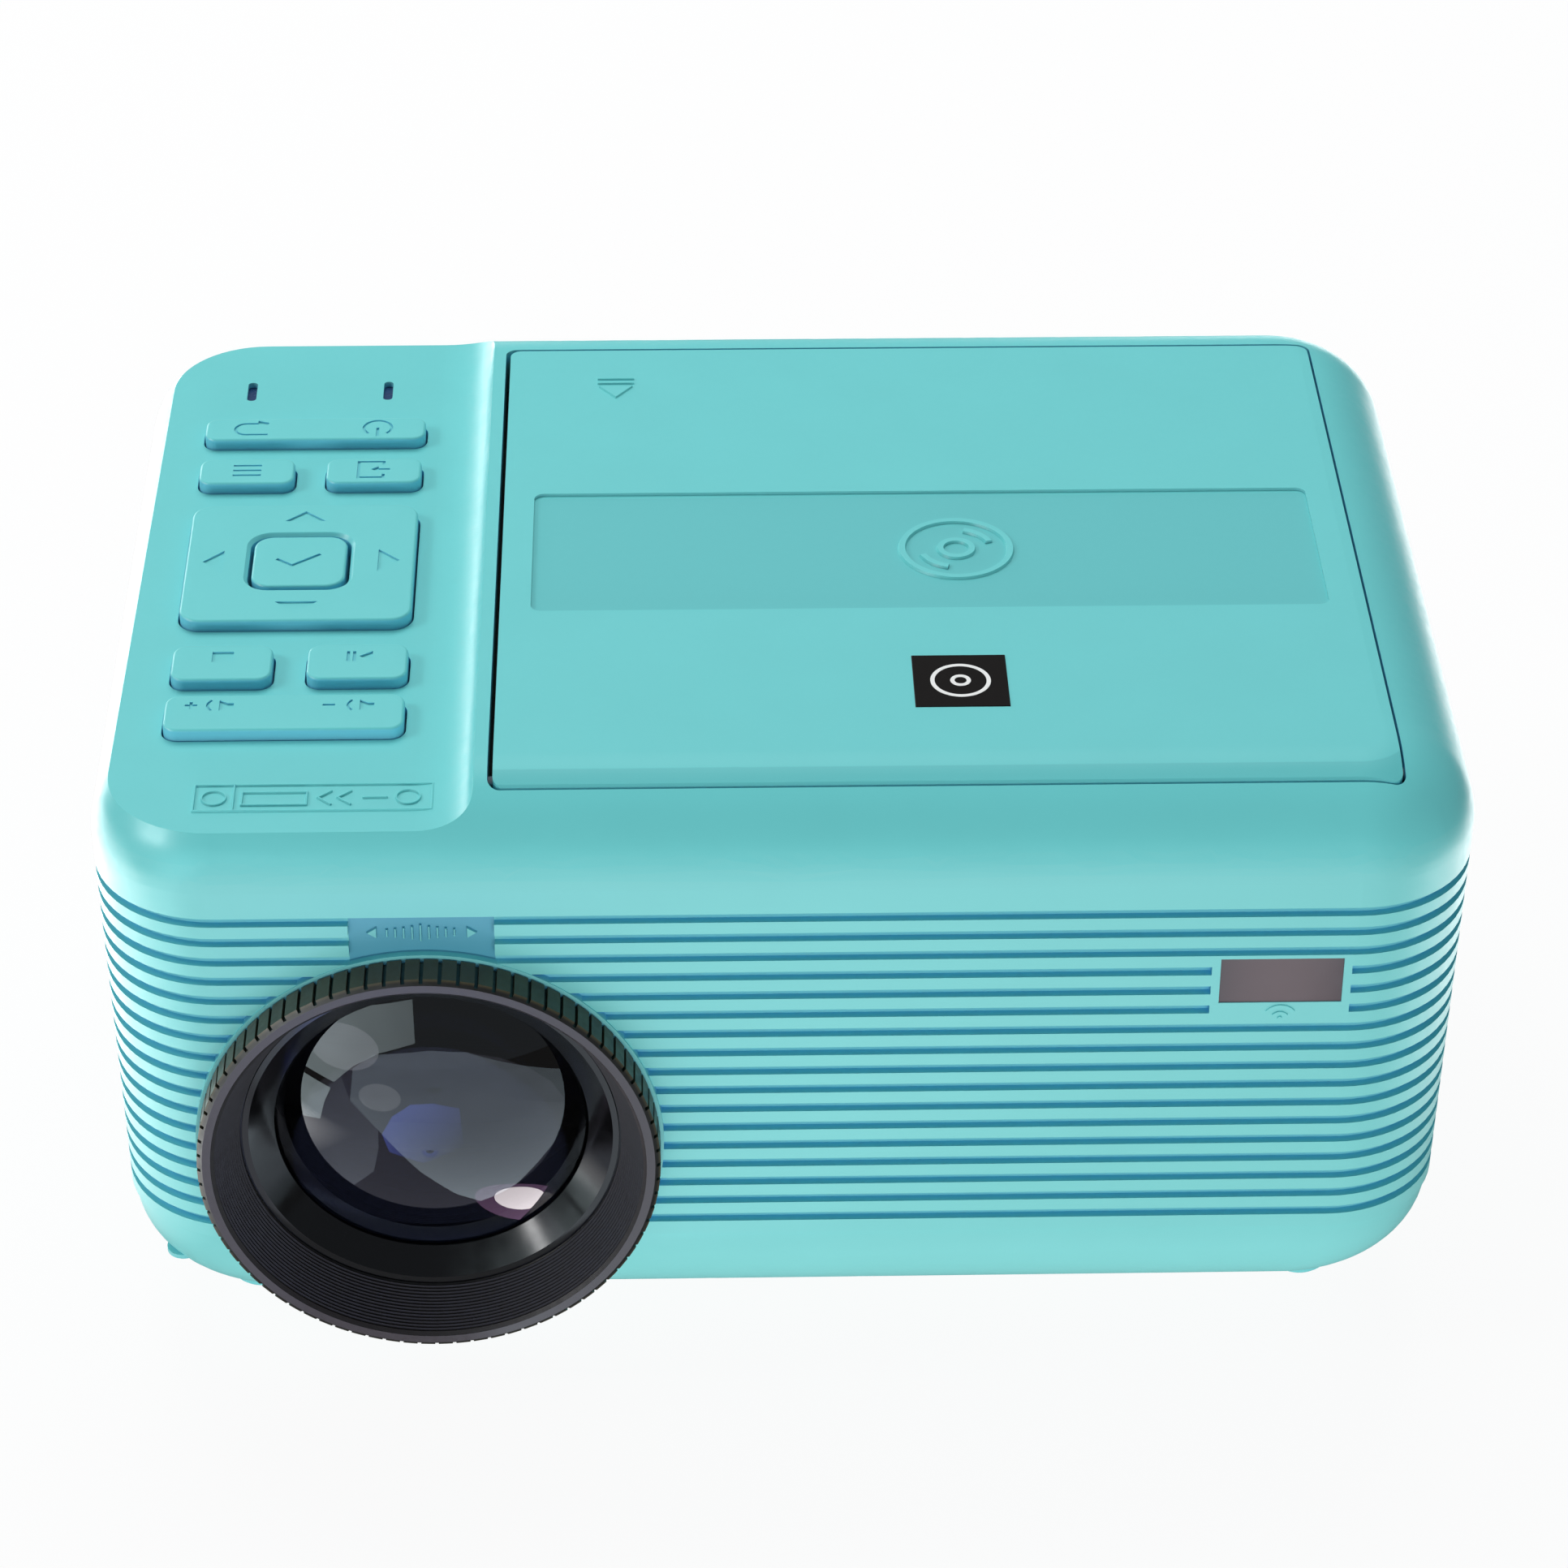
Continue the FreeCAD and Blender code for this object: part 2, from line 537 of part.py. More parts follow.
# ---- Disc deck and drive -------------------------------------------------------------------------
def make_disc_deck():
    rect = grow(LID_OPENING, 2.0)
    plate = slab(rect, DECK_CORNER_R, DECK_TOP - DECK_PLATE, DECK_TOP)
    low = WELL_FLOOR - DECK_PLATE
    rim = WELL_R + 1.4
    bowl = upright_turn(DISC_X, DISC_Y, [(0, low), (rim, low), (rim, DECK_TOP), (0, DECK_TOP)])
    notches = []
    for a in (135, 315):
        nx = DISC_X + (WELL_R - 2) * math.cos(math.radians(a))
        ny = DISC_Y + (WELL_R - 2) * math.sin(math.radians(a))
        notches.append((nx, ny))
    deck = plate.fuse(bowl)
    for nx, ny in notches:
        deck = deck.fuse(Part.makeCylinder(13.4, DECK_TOP - low, V(nx, ny, low)))
    deck = deck.cut(Part.makeCylinder(WELL_R, 10, V(DISC_X, DISC_Y, WELL_FLOOR)))
    for nx, ny in notches:
        deck = deck.cut(Part.makeCylinder(12.0, 10, V(nx, ny, WELL_FLOOR)))
    deck = deck.common(slab(rect, DECK_CORNER_R, 80, DECK_TOP))
    # The disc rests on the turntable; a low step keeps its playing side off the floor.
    step = upright_turn(DISC_X, DISC_Y, [
        (WELL_R - 3.2, WELL_FLOOR), (WELL_R, WELL_FLOOR),
        (WELL_R, WELL_FLOOR + 0.6), (WELL_R - 2.6, WELL_FLOOR + 0.6)])
    for nx, ny in notches:
        step = step.cut(Part.makeCylinder(12.0, 5, V(nx, ny, WELL_FLOOR - 1)))
    pickup_path = (DISC_X + 10, DISC_X + SLOT_END, DISC_Y - SLOT_HALF, DISC_Y + SLOT_HALF)
    deck = deck.fuse(step.cut(slab(grow(pickup_path, 1.5), 3.0, WELL_FLOOR - 1, DECK_TOP)))
    deck = deck.cut(Part.makeCylinder(TURNTABLE_R + 1.5, 10, V(DISC_X, DISC_Y, 85)))
    deck = deck.cut(slab(pickup_path, 3.0, 85, 92))
    deck = deck.cut(latch_box(4.6, 2.6, 2.0, 85, DECK_TOP + 1))
    for x, y in GROMMETS:
        deck = deck.fuse(Part.makeCylinder(3.4, low + 1 - GROMMET_TOP, V(x, y, GROMMET_TOP)))
    for x, y in GROMMETS:
        deck = deck.cut(Part.makeCylinder(1.1, 6.0, V(x, y, 81.5)))
    seat = latch_box(5.2, 3.4, 2.6, 86.0, DECK_TOP - 0.5)
    seat = seat.cut(latch_box(3.6, 2.4, 1.7, 87.0, DECK_TOP)).cut(latch_box(4.6, 2.6, 2.0, 90.0, DECK_TOP))
    return deck.fuse(seat).removeSplitter()


def latch_box(half, front, back, z0, z1):
    """A box at the lid's latch."""
    return box(LATCH_X - half, LATCH_X + half, LATCH_Y - front, LATCH_Y + back, z0, z1)


def make_mech_chassis():
    rect = (DISC_X - 26, DISC_X + 69, DISC_Y - 42, DISC_Y + 42)
    sheet = slab(rect, 3.0, CHASSIS_Z, CHASSIS_Z + CHASSIS_SHEET)
    window = slab((DISC_X + 17, DISC_X + 60, DISC_Y - 12, DISC_Y + 12), 3.0, CHASSIS_Z - 1, CHASSIS_Z + 3)
    sheet = sheet.cut(window)
    for x in (DISC_X + 13.0, DISC_X + 67.0):
        for y in (DISC_Y + ROD_Y, DISC_Y - ROD_Y):
            ear = box(x - 1.0, x + 1.0, y - 3.0, y + 3.0, CHASSIS_Z, SLED_Z + 3.0)
            sheet = sheet.fuse(ear)
    for y in (DISC_Y + ROD_Y, DISC_Y - ROD_Y):
        sheet = sheet.cut(cyl(ROD_R, (DISC_X, y, SLED_Z), (DISC_X + 80, y, SLED_Z)))
    y = DISC_Y + SCREW_Y
    sheet = sheet.fuse(box(DISC_X + 66.0, DISC_X + 68.0, y - 3, y + 3, CHASSIS_Z, SLED_Z + 3.0))
    sheet = sheet.cut(cyl(1.0 + RUNNING, (DISC_X + 60, y, SLED_Z), (DISC_X + 72, y, SLED_Z)))
    for x, y in GROMMETS:
        sheet = sheet.cut(Part.makeCylinder(3.0, 10, V(x, y, CHASSIS_Z - 3)))
    sheet = sheet.cut(Part.makeCylinder(4.0, 10, V(DISC_X, DISC_Y, CHASSIS_Z - 3)))
    return sheet.removeSplitter()


def make_mech_grommets():
    low = CHASSIS_Z - 1.6
    upper = CHASSIS_Z + CHASSIS_SHEET
    profile = [
        (1.4, low), (4.4, low), (4.4, CHASSIS_Z), (3.0, CHASSIS_Z),
        (3.0, upper), (4.4, upper), (4.4, GROMMET_TOP), (1.4, GROMMET_TOP),
    ]
    return Part.makeCompound([upright_turn(x, y, profile) for x, y in GROMMETS])


def make_small_screws():
    """The screws of one size that hold the lens flange and the disc drive."""
    low = CHASSIS_Z - 1.6
    screw = [(0, low - 1.0), (2.6, low - 1.0), (2.6, low), (1.1, low), (1.1, 87.0), (0, 87.0)]
    return Part.makeCompound(lens_screws() + [upright_turn(x, y, screw) for x, y in GROMMETS])


def make_spindle_motor():
    base = CHASSIS_Z + CHASSIS_SHEET
    can = upright_turn(DISC_X, DISC_Y, [
        (0, base), (12.0, base), (12.0, base + 1.2), (11.2, base + 1.2), (11.2, 88.2), (0, 88.2)])
    boss = Part.makeCylinder(4.0, CHASSIS_SHEET + 0.8, V(DISC_X, DISC_Y, CHASSIS_Z - 0.8))
    shaft = Part.makeCylinder(1.0, 5.5, V(DISC_X, DISC_Y, 88.0))
    return can.fuse([boss, shaft]).removeSplitter()


def make_turntable():
    top = TURNTABLE_TOP
    body = upright_turn(DISC_X, DISC_Y, [
        (1.0 + RUNNING, 88.7), (5.0, 88.7), (5.0, top - 1.6), (TURNTABLE_R, top - 1.6),
        (TURNTABLE_R, top - 0.6),
        (HUB_R, top - 0.6), (HUB_R, top + 1.2), (HUB_R - 1.8, top + 3.2), (1.0 + RUNNING, top + 3.2)])
    for a in (0, 120, 240):                                 # sprung balls that hold the disc down
        bx = DISC_X + (HUB_R - 0.4) * math.cos(math.radians(a))
        by = DISC_Y + (HUB_R - 0.4) * math.sin(math.radians(a))
        body = body.fuse(Part.makeSphere(0.9, V(bx, by, top + 1.5)))
    return body.removeSplitter()


def make_turntable_pad():
    top = TURNTABLE_TOP
    return upright_turn(DISC_X, DISC_Y, [(9.5, top - 0.6), (14.6, top - 0.6), (14.6, top), (9.5, top)])


def make_sled_rods():
    rods = []
    for y in (DISC_Y + ROD_Y, DISC_Y - ROD_Y):
        rods.append(cyl(ROD_R, (DISC_X + 11.0, y, SLED_Z), (DISC_X + 69.0, y, SLED_Z)))
    return Part.makeCompound(rods)


def make_pickup_sled():
    cx = DISC_X + SLED_REST_X
    block = slab((cx - 8.5, cx + 8.5, DISC_Y - 15, DISC_Y + 15), 2.0, 80.6, 86.6)
    arms = box(cx - 6.5, cx + 6.5, DISC_Y - 23.2, DISC_Y + 23.2, 81.0, 85.2)
    nut = box(cx - 3.0, cx + 3.0, DISC_Y + SCREW_Y - 2.6, DISC_Y - 22, SLED_Z - 2.4, SLED_Z + 2.4)
    head = slab((cx - 8.0, cx + SLED_NOSE, DISC_Y - 7.0, DISC_Y + 7.0), 2.0, 86.0, 88.9)
    sled = block.fuse([arms, nut, head])
    sled = sled.cut(Part.makeCylinder(2.7, 3.0, V(cx, DISC_Y, 87.2)))
    for y in (DISC_Y + ROD_Y, DISC_Y - ROD_Y):
        sled = sled.cut(cyl(ROD_R + RUNNING, (cx - 12, y, SLED_Z), (cx + 12, y, SLED_Z)))
    y = DISC_Y + SCREW_Y
    sled = sled.cut(cyl(1.6 + RUNNING, (cx - 12, y, SLED_Z), (cx + 12, y, SLED_Z)))
    return sled.removeSplitter()


def make_objective_lens():
    cx = DISC_X + SLED_REST_X
    profile = [(0, 87.2), (2.7, 87.2), (2.7, 88.4), (2.1, 88.9), (1.1, 89.25), (0, 89.35)]
    return upright_turn(cx, DISC_Y, profile)


def make_lead_screw():
    """The sled's drive screw; its thread is left as a plain barrel."""
    y = DISC_Y + SCREW_Y
    shaft = cyl(1.0, (DISC_X + 14.3, y, SLED_Z), (DISC_X + 69.0, y, SLED_Z))
    thread = cyl(1.6, (DISC_X + 15.0, y, SLED_Z), (DISC_X + 65.7, y, SLED_Z))
    return shaft.fuse(thread).removeSplitter()


def make_sled_motor():
    y = DISC_Y + SCREW_Y
    can = cyl(4.2, (DISC_X - 4.0, y, SLED_Z), (DISC_X + 14.0, y, SLED_Z))
    can = can.cut(box(DISC_X - 10, DISC_X + 20, y - 10, y + 10, SLED_Z - 9, CHASSIS_Z + CHASSIS_SHEET))
    return can


# ---- Lens assembly -------------------------------------------------------------------------------
def knurl_prism():
    """The fluted band of the focus ring, drawn tooth by tooth and extruded."""
    pitch = 2 * math.pi / RING_TEETH
    half = FLUTE_WIDTH / 2 / RING_R

    def at(r, a):
        return V(LENS_X + r * math.cos(a), RING_FRONT, LENS_Z + r * math.sin(a))

    edges = []
    low = RING_R - FLUTE_DEPTH
    for i in range(RING_TEETH):
        a = i * pitch
        b = (i + 1) * pitch
        edges.append(Part.makeLine(at(low, a - half), at(low, a + half)))
        edges.append(Part.makeLine(at(low, a + half), at(RING_R, a + half)))
        edges.append(Part.makeLine(at(RING_R, a + half), at(RING_R, b - half)))
        edges.append(Part.makeLine(at(RING_R, b - half), at(low, b - half)))
    return Part.Face(Part.Wire(edges)).extrude(V(0, RING_REAR - RING_FRONT, 0))


def make_focus_ring():
    radial, axial = RING_CHAMFER
    rim_r = RING_R - radial
    cone_y = RING_FRONT + CONE_DEPTH
    guide_r = BARREL_R + RUNNING + GUIDE_WALL + RUNNING
    outer_r = RING_R + 0.05
    limit = lens_turn([
        (0, RING_FRONT), (rim_r, RING_FRONT), (outer_r, RING_FRONT + axial), (outer_r, 0), (0, 0)])
    ring = knurl_prism().common(limit)
    ring = ring.fuse(lens_cyl(SLEEVE_R, RING_REAR - 1, FLANGE_Y - 0.35))
    mouth_r = rim_r - RING_RIM
    ring = ring.cut(lens_turn([
        (0, RING_FRONT - 1), (mouth_r, RING_FRONT - 1), (mouth_r, RING_FRONT), (CONE_END_R, cone_y),
        (guide_r, cone_y), (guide_r, 0), (0, 0)]))
    for a in PIN_ANGLES:
        ring = ring.cut(cam_slot(a))
    return ring.removeSplitter()


def cam_slot(angle):
    """A helical slot through the ring's sleeve, cut by a follower pin's path in short steps."""
    steps = 12
    r = PIN_R + 0.12
    x0 = LENS_X + BARREL_R
    x1 = LENS_X + SLEEVE_R + 1
    profiles = []
    for i in range(steps + 1):
        s = -1 + 2 * i / steps
        turn = angle + s * (FOCUS_TURN + 1.5)
        y = PIN_Y - s * FOCUS_TRAVEL * (FOCUS_TURN + 1.5) / FOCUS_TURN
        profiles.append((turn, y))
    slot = None
    for turn, y in (profiles[0], profiles[-1]):
        end = around_lens(cyl(r, (x0, y, LENS_Z), (x1, y, LENS_Z)), turn)
        slot = end if slot is None else slot.fuse(end)
    for (turn_a, y_a), (turn_b, y_b) in zip(profiles[:-1], profiles[1:]):
        wires = []
        for turn, y in ((turn_a, y_a), (turn_b, y_b)):
            corners = [(x0, y - r), (x1, y - r), (x1, y + r), (x0, y + r), (x0, y - r)]
            rect = Part.makePolygon([V(x, along, LENS_Z) for x, along in corners])
            wires.append(around_lens(rect, turn))
        slot = slot.fuse(Part.makeLoft(wires, True, True))
    return slot


def make_guide_tube():
    r0 = BARREL_R + RUNNING
    r1 = r0 + GUIDE_WALL
    mouth = RING_FRONT + CONE_DEPTH + 0.35
    back = FLANGE_Y + 2.0
    tube = lens_turn([
        (r0, mouth), (r1, mouth), (r1, FLANGE_Y), (34.0, FLANGE_Y),
        (34.0, back), (r1, back), (r1, BOX_FRONT), (r0, BOX_FRONT)])
    for a in LUG_ANGLES:
        ear = cyl(3.8, (LENS_X + LUG_R, FLANGE_Y, LENS_Z), (LENS_X + LUG_R, FLANGE_Y + 2.0, LENS_Z))
        tube = tube.fuse(around_lens(ear.cut(lens_cyl(30.0, -100, 0)), a))
    for a in PIN_ANGLES:
        half = PIN_R + 0.08
        reach = FOCUS_TRAVEL + 0.4
        slot = box(LENS_X + 20, LENS_X + 31, PIN_Y - reach, PIN_Y + reach, LENS_Z - half, LENS_Z + half)
        for y in (PIN_Y - reach, PIN_Y + reach):
            slot = slot.fuse(cyl(half, (LENS_X + 20, y, LENS_Z), (LENS_X + 31, y, LENS_Z)))
        tube = tube.cut(around_lens(slot, a))
    for a in LUG_ANGLES:
        tube = tube.cut(lens_screw(a))
    return tube.removeSplitter()


def lens_screw(angle):
    screw = cyl(1.1, (LENS_X + LUG_R, -60.0, LENS_Z), (LENS_X + LUG_R, FLANGE_Y + 2.0, LENS_Z))
    return around_lens(screw, angle)


def lens_screws():
    screws = []
    for a in LUG_ANGLES:
        head = cyl(2.2, (LENS_X + LUG_R, FLANGE_Y + 2.0, LENS_Z), (LENS_X + LUG_R, FLANGE_Y + 3.4, LENS_Z))
        screws.append(lens_screw(a).fuse(around_lens(head, a)).removeSplitter())
    return screws


def make_lens_barrel():
    barrel = lens_turn([
        (26.0, -66.9), (BARREL_R, -66.9), (BARREL_R, -36.0), (19.0, -36.0), (19.0, -38.5), (21.0, -38.5),
        (21.0, -47.5), (24.0, -50.0), (24.0, -61.0), (26.0, -61.0)])
    for a in PIN_ANGLES:
        barrel = barrel.cut(around_lens(follower_pin(), a))
    return barrel


def follower_pin():
    return cyl(PIN_R, (LENS_X + 25.8, PIN_Y, LENS_Z), (LENS_X + SLEEVE_R - 0.4, PIN_Y, LENS_Z))


def make_follower_pins():
    return Part.makeCompound([around_lens(follower_pin(), a) for a in PIN_ANGLES])


def make_lens_bezel():
    """The glossy conical ring that frames and holds the front glass."""
    front = RING_FRONT + CONE_DEPTH
    seat = GLASS_EDGE_Y + 0.5
    return lens_turn([
        (BARREL_R, front), (26.7, front), (GLASS_R, GLASS_EDGE_Y), (GLASS_R, seat), (26.0, seat),
        (26.0, -66.9), (BARREL_R, -66.9)])


def dome(curve, rim_r, rim_y, way):
    """A spherical cap's arc in the lens section: from the axis to the rim."""
    sag = curve - math.sqrt(curve ** 2 - rim_r ** 2)
    apex = rim_y - way * sag
    half_r = rim_r / 2
    half_y = apex + way * (curve - math.sqrt(curve ** 2 - half_r ** 2))
    c = V(LENS_X, 0, LENS_Z)
    return Part.Arc(c + V(0, apex, 0), c + V(half_r, half_y, 0), c + V(rim_r, rim_y, 0)).toShape(), apex


def glass_element(curve, edge_r, rim_y, back_y, way):
    """A lens with one domed face; way is +1 when the dome faces the front."""
    arc, apex = dome(curve, edge_r, rim_y, way)
    c = V(LENS_X, 0, LENS_Z)
    rim = c + V(edge_r, rim_y, 0)
    edges = [
        arc,
        Part.makeLine(rim, c + V(edge_r, back_y, 0)),
        Part.makeLine(c + V(edge_r, back_y, 0), c + V(0, back_y, 0)),
        Part.makeLine(c + V(0, back_y, 0), c + V(0, apex, 0)),
    ]
    return Part.Face(Part.Wire(edges)).revolve(c, Y_AXIS, 360)


def make_front_lens():
    edge_r = 25.6
    fall = math.sqrt(GLASS_CURVE ** 2 - GLASS_R ** 2) - math.sqrt(GLASS_CURVE ** 2 - edge_r ** 2)
    return glass_element(GLASS_CURVE, edge_r, GLASS_EDGE_Y + 0.5 + fall, -61.0, 1)


def make_rear_lens():
    return glass_element(30.0, 21.0, -43.0, -38.5, 1)


# ---- Light engine --------------------------------------------------------------------------------
def lens_block(half_x, half_z, y0, y1):
    """A box centred on the lens axis."""
    return box(LENS_X - half_x, LENS_X + half_x, y0, y1, LENS_Z - half_z, LENS_Z + half_z)


def make_optical_box():
    hx = BOX_HALF_X
    hz = BOX_HALF_Z
    shell = lens_block(hx, hz, BOX_FRONT, BOX_BACK)
    shell = shell.cut(lens_block(hx - 2, hz - 2, BOX_FRONT + 2, BOX_BACK + 1))
    shell = shell.cut(lens_cyl(24.0, BOX_FRONT - 1, BOX_FRONT + 3))
    for y in PLATE_Y:                                       # grooves that hold the three plates
        rib = lens_block(hx - 1, hz - 1, y - 1.5, y + PLATE_THICK + 1.5)
        rib = rib.cut(lens_block(32, 21, y - 2, y + PLATE_THICK + 2))
        shell = shell.fuse(rib).cut(plate(y))
    feet_z = BASE_Z + WALL
    for x in (LENS_X - 18, LENS_X + 26):
        for y in (-24.0, 22.0):
            shell = shell.fuse(Part.makeCylinder(3.0, LENS_Z - hz - feet_z, V(x, y, feet_z)))
    return shell.removeSplitter()


def plate(y):
    return lens_block(*PLATE_HALF, y, y + PLATE_THICK)


def make_lcd_panel():
    """A picture panel in a frame, its screen set back from the frame's front."""
    front = PLATE_Y[1]
    return plate(front).cut(lens_block(29, 17, front - 1, front + 0.8))


def make_condenser_lens():
    return glass_element(26.0, 19.0, 22.5, 26.0, 1)


def make_led_module():
    """The lamp board with its chip and the ring that holds the condenser."""
    board = box(LENS_X - 25, LENS_X + 25, BOX_BACK, BOX_BACK + 2.0, LENS_Z - 25, LENS_Z + 25)
    holder = lens_turn([
        (17.5, 26.0), (19.0, 26.0), (19.0, 22.5), (20.8, 22.5), (20.8, BOX_BACK), (17.5, BOX_BACK)])
    chip = box(LENS_X - 7, LENS_X + 7, BOX_BACK - 1.2, BOX_BACK, LENS_Z - 7, LENS_Z + 7)
    return board.fuse([holder, chip]).removeSplitter()


def make_heat_sink():
    y0 = BOX_BACK + 2.0
    y1 = FAN_Y[0]
    block = box(LENS_X - 28, LENS_X + 28, y0, y0 + 5.0, LENS_Z - 26, LENS_Z + 26)
    fins = []
    for i in range(12):
        x = LENS_X - 28 + i * (54.4 / 11)
        fins.append(box(x, x + 1.6, y0 + 4.0, y1, LENS_Z - 26, LENS_Z + 26))
    return block.fuse(fins).removeSplitter()


def make_fan_frame():
    s = FAN_SIZE / 2
    y0, y1 = FAN_Y
    frame = box(LENS_X - s, LENS_X + s, y0, y1, LENS_Z - s, LENS_Z + s)
    frame = frame.cut(lens_cyl(FAN_BORE, y0 - 1, y1 + 1))
    hub = lens_cyl(9.5, y1 - 1.6, y1)
    arm = box(LENS_X - 1.5, LENS_X + 1.5, y1 - 1.6, y1, LENS_Z, LENS_Z + FAN_BORE + 0.5)
    arms = [around_lens(arm, a) for a in (45, 135, 225, 315)]
    post = lens_cyl(1.5, y0 + 2.0, y1 - 1.0)
    frame = frame.fuse(arms + [hub, post])
    for dx in (-s + 3, s - 3):
        for dz in (-s + 3, s - 3):
            x = LENS_X + dx
            z = LENS_Z + dz
            frame = frame.cut(cyl(1.5, (x, y0 - 1, z), (x, y1 + 1, z)))
    return frame.removeSplitter()


def make_fan_rotor():
    y0, y1 = FAN_Y
    bore = 1.5 + RUNNING
    cup = lens_turn([(bore, y0 + 1.0), (9.5, y0 + 1.0), (9.5, y1 - 2.2), (bore, y1 - 2.2)])
    blades = []
    for i in range(7):
        wires = []
        for r, pitch_angle in ((9.0, 48.0), (FAN_BORE - 0.9, 32.0)):
            t = math.radians(pitch_angle)
            half = 3.0 / math.sin(t) if r < 20 else 3.0 / math.sin(math.radians(40.0))
            dz = half * math.cos(t)
            dy = half * math.sin(t)
            ym = (y0 + y1) / 2 - 0.6
            wires.append(Part.makePolygon([
                V(LENS_X + r, ym - dy, LENS_Z - dz), V(LENS_X + r, ym - dy + 1.2, LENS_Z - dz),
                V(LENS_X + r, ym + dy, LENS_Z + dz), V(LENS_X + r, ym + dy - 1.2, LENS_Z + dz),
                V(LENS_X + r, ym - dy, LENS_Z - dz)]))
        blades.append(around_lens(Part.makeLoft(wires, True, True), i * 360 / 7))
    return cup.fuse(blades).removeSplitter()


# ---- Keys ----------------------------------------------------------------------------------------
# Drawn on a level panel and then moved onto the sloping one.
def key_centre(name):
    rect = KEYS[name]
    return ((rect[0] + rect[1]) / 2, (rect[2] + rect[3]) / 2)


def key_cap(name):
    rect = KEYS[name]
    cap = slab(rect[:4], rect[4], -KEY_SKIRT, KEY_RISE)
    top = [e for e in cap.Edges if all(abs(v.Z - KEY_RISE) < 1e-4 for v in e.Vertexes)]
    return cap.makeFillet(KEY_EDGE_R, top)


def key_flange(name, top):
    rect = KEYS[name]
    return slab(grow(rect[:4], 1.3), rect[4] + 1.0, top - 1.0, top)


def plunger(x, y, tip):
    """The peg under a key that presses its rubber dome."""
    return Part.makeCylinder(1.3, -KEY_SKIRT + 0.2 - tip, V(x, y, tip))


def make_push_key(name):
    key = key_cap(name).fuse(key_flange(name, -PANEL_WALL - 0.3))
    key = key.fuse(plunger(*key_centre(name), DOME_TOP + KEY_TRAVEL + 0.1))
    return onto_panel(key.removeSplitter())


def make_rocker_key(name):
    """A bar pressed at either end; it rocks on a round-nosed rib that stands on the rubber sheet."""
    x, y = key_centre(name)
    half = (KEYS[name][3] - KEYS[name][2]) / 2 - 1.5
    key = key_cap(name).fuse(key_flange(name, -PANEL_WALL - 0.7))
    rib = box(x - ROCKER_R, x + ROCKER_R, y - half, y + half, ROCKER_AXIS, -KEY_SKIRT + 0.2)
    nose = cyl(ROCKER_R, (x, y - half, ROCKER_AXIS), (x, y + half, ROCKER_AXIS))
    key = key.fuse([rib, nose])
    for dx in (-ROCKER_DOME_X, ROCKER_DOME_X):
        key = key.fuse(plunger(x + dx, y, DOME_TOP + 0.45))
    return onto_panel(key.removeSplitter())


def make_dpad_plate():
    x, y = key_centre("dpad_plate")
    pad = key_cap("dpad_plate").fuse(key_flange("dpad_plate", -PANEL_WALL - 1.1))
    for dy in (-1, 1):                                      # ears that hang on the pivot frame's pins
        y0, y1 = sorted((y + dy * GIMBAL_SEAT[0], y + dy * GIMBAL_SEAT[1]))
        ear = box(x - 1.6, x + 1.6, y0, y1, GIMBAL_AXIS - 1.0, -KEY_SKIRT + 0.2)
        bore = cyl(GIMBAL_PIN_R + RUNNING, (x, y0 - 1, GIMBAL_AXIS), (x, y1 + 1, GIMBAL_AXIS))
        pad = pad.fuse(ear.cut(bore))
    for dx, dy in DPAD_WAYS:
        pad = pad.fuse(plunger(x + dx * DPAD_DOME, y + dy * DPAD_DOME, DOME_TOP + 0.5))
    pad = pad.cut(slab(OK_WELL[:4], OK_WELL[4], -10, 5))
    lip = [e for e in pad.Edges if all(
        abs(v.Z - KEY_RISE) < 1e-4 and abs(v.X - x) < 9 and abs(v.Y - y) < 9 for v in e.Vertexes)]
    return onto_panel(pad.makeChamfer(OK_BEVEL, lip).removeSplitter())


def make_dpad_pivot():
    """The frame under the direction plate: its pins make the plate tilt both ways."""
    x, y = key_centre("dpad_plate")
    z0 = GIMBAL_AXIS - 0.5
    z1 = GIMBAL_AXIS + 0.5
    inner = GIMBAL_HALF - GIMBAL_BAR
    frame = slab((x - GIMBAL_HALF, x + GIMBAL_HALF, y - GIMBAL_HALF, y + GIMBAL_HALF), 3.0, z0, z1)
    frame = frame.cut(slab((x - inner, x + inner, y - inner, y + inner), 2.0, z0 - 1, z1 + 1))
    root = GIMBAL_HALF - 1.0
    for dx, dy in DPAD_WAYS:
        start = (x + dx * root, y + dy * root, GIMBAL_AXIS)
        end = (x + dx * GIMBAL_SEAT[1], y + dy * GIMBAL_SEAT[1], GIMBAL_AXIS)
        frame = frame.fuse(cyl(GIMBAL_PIN_R, start, end))
    return onto_panel(frame.removeSplitter())


def make_ok_key():
    """The middle key; a flange under the direction plate keeps it in."""
    rect = KEYS["ok_key"]
    tip = DOME_TOP + KEY_TRAVEL + 0.1
    flange = slab(grow(rect[:4], 1.0), rect[4] + 1.0, tip, tip + 0.6)
    neck = slab(rect[:4], rect[4], tip, -KEY_SKIRT + 0.2)
    return onto_panel(key_cap("ok_key").fuse([flange, neck]).removeSplitter())


def dome_places():
    places = [key_centre(name) for name in ("menu_key", "source_key", "stop_key", "play_key")]
    for name in ("power_key", "volume_key"):
        x, y = key_centre(name)
        places += [(x - ROCKER_DOME_X, y), (x + ROCKER_DOME_X, y)]
    return places + [key_centre("ok_key")]


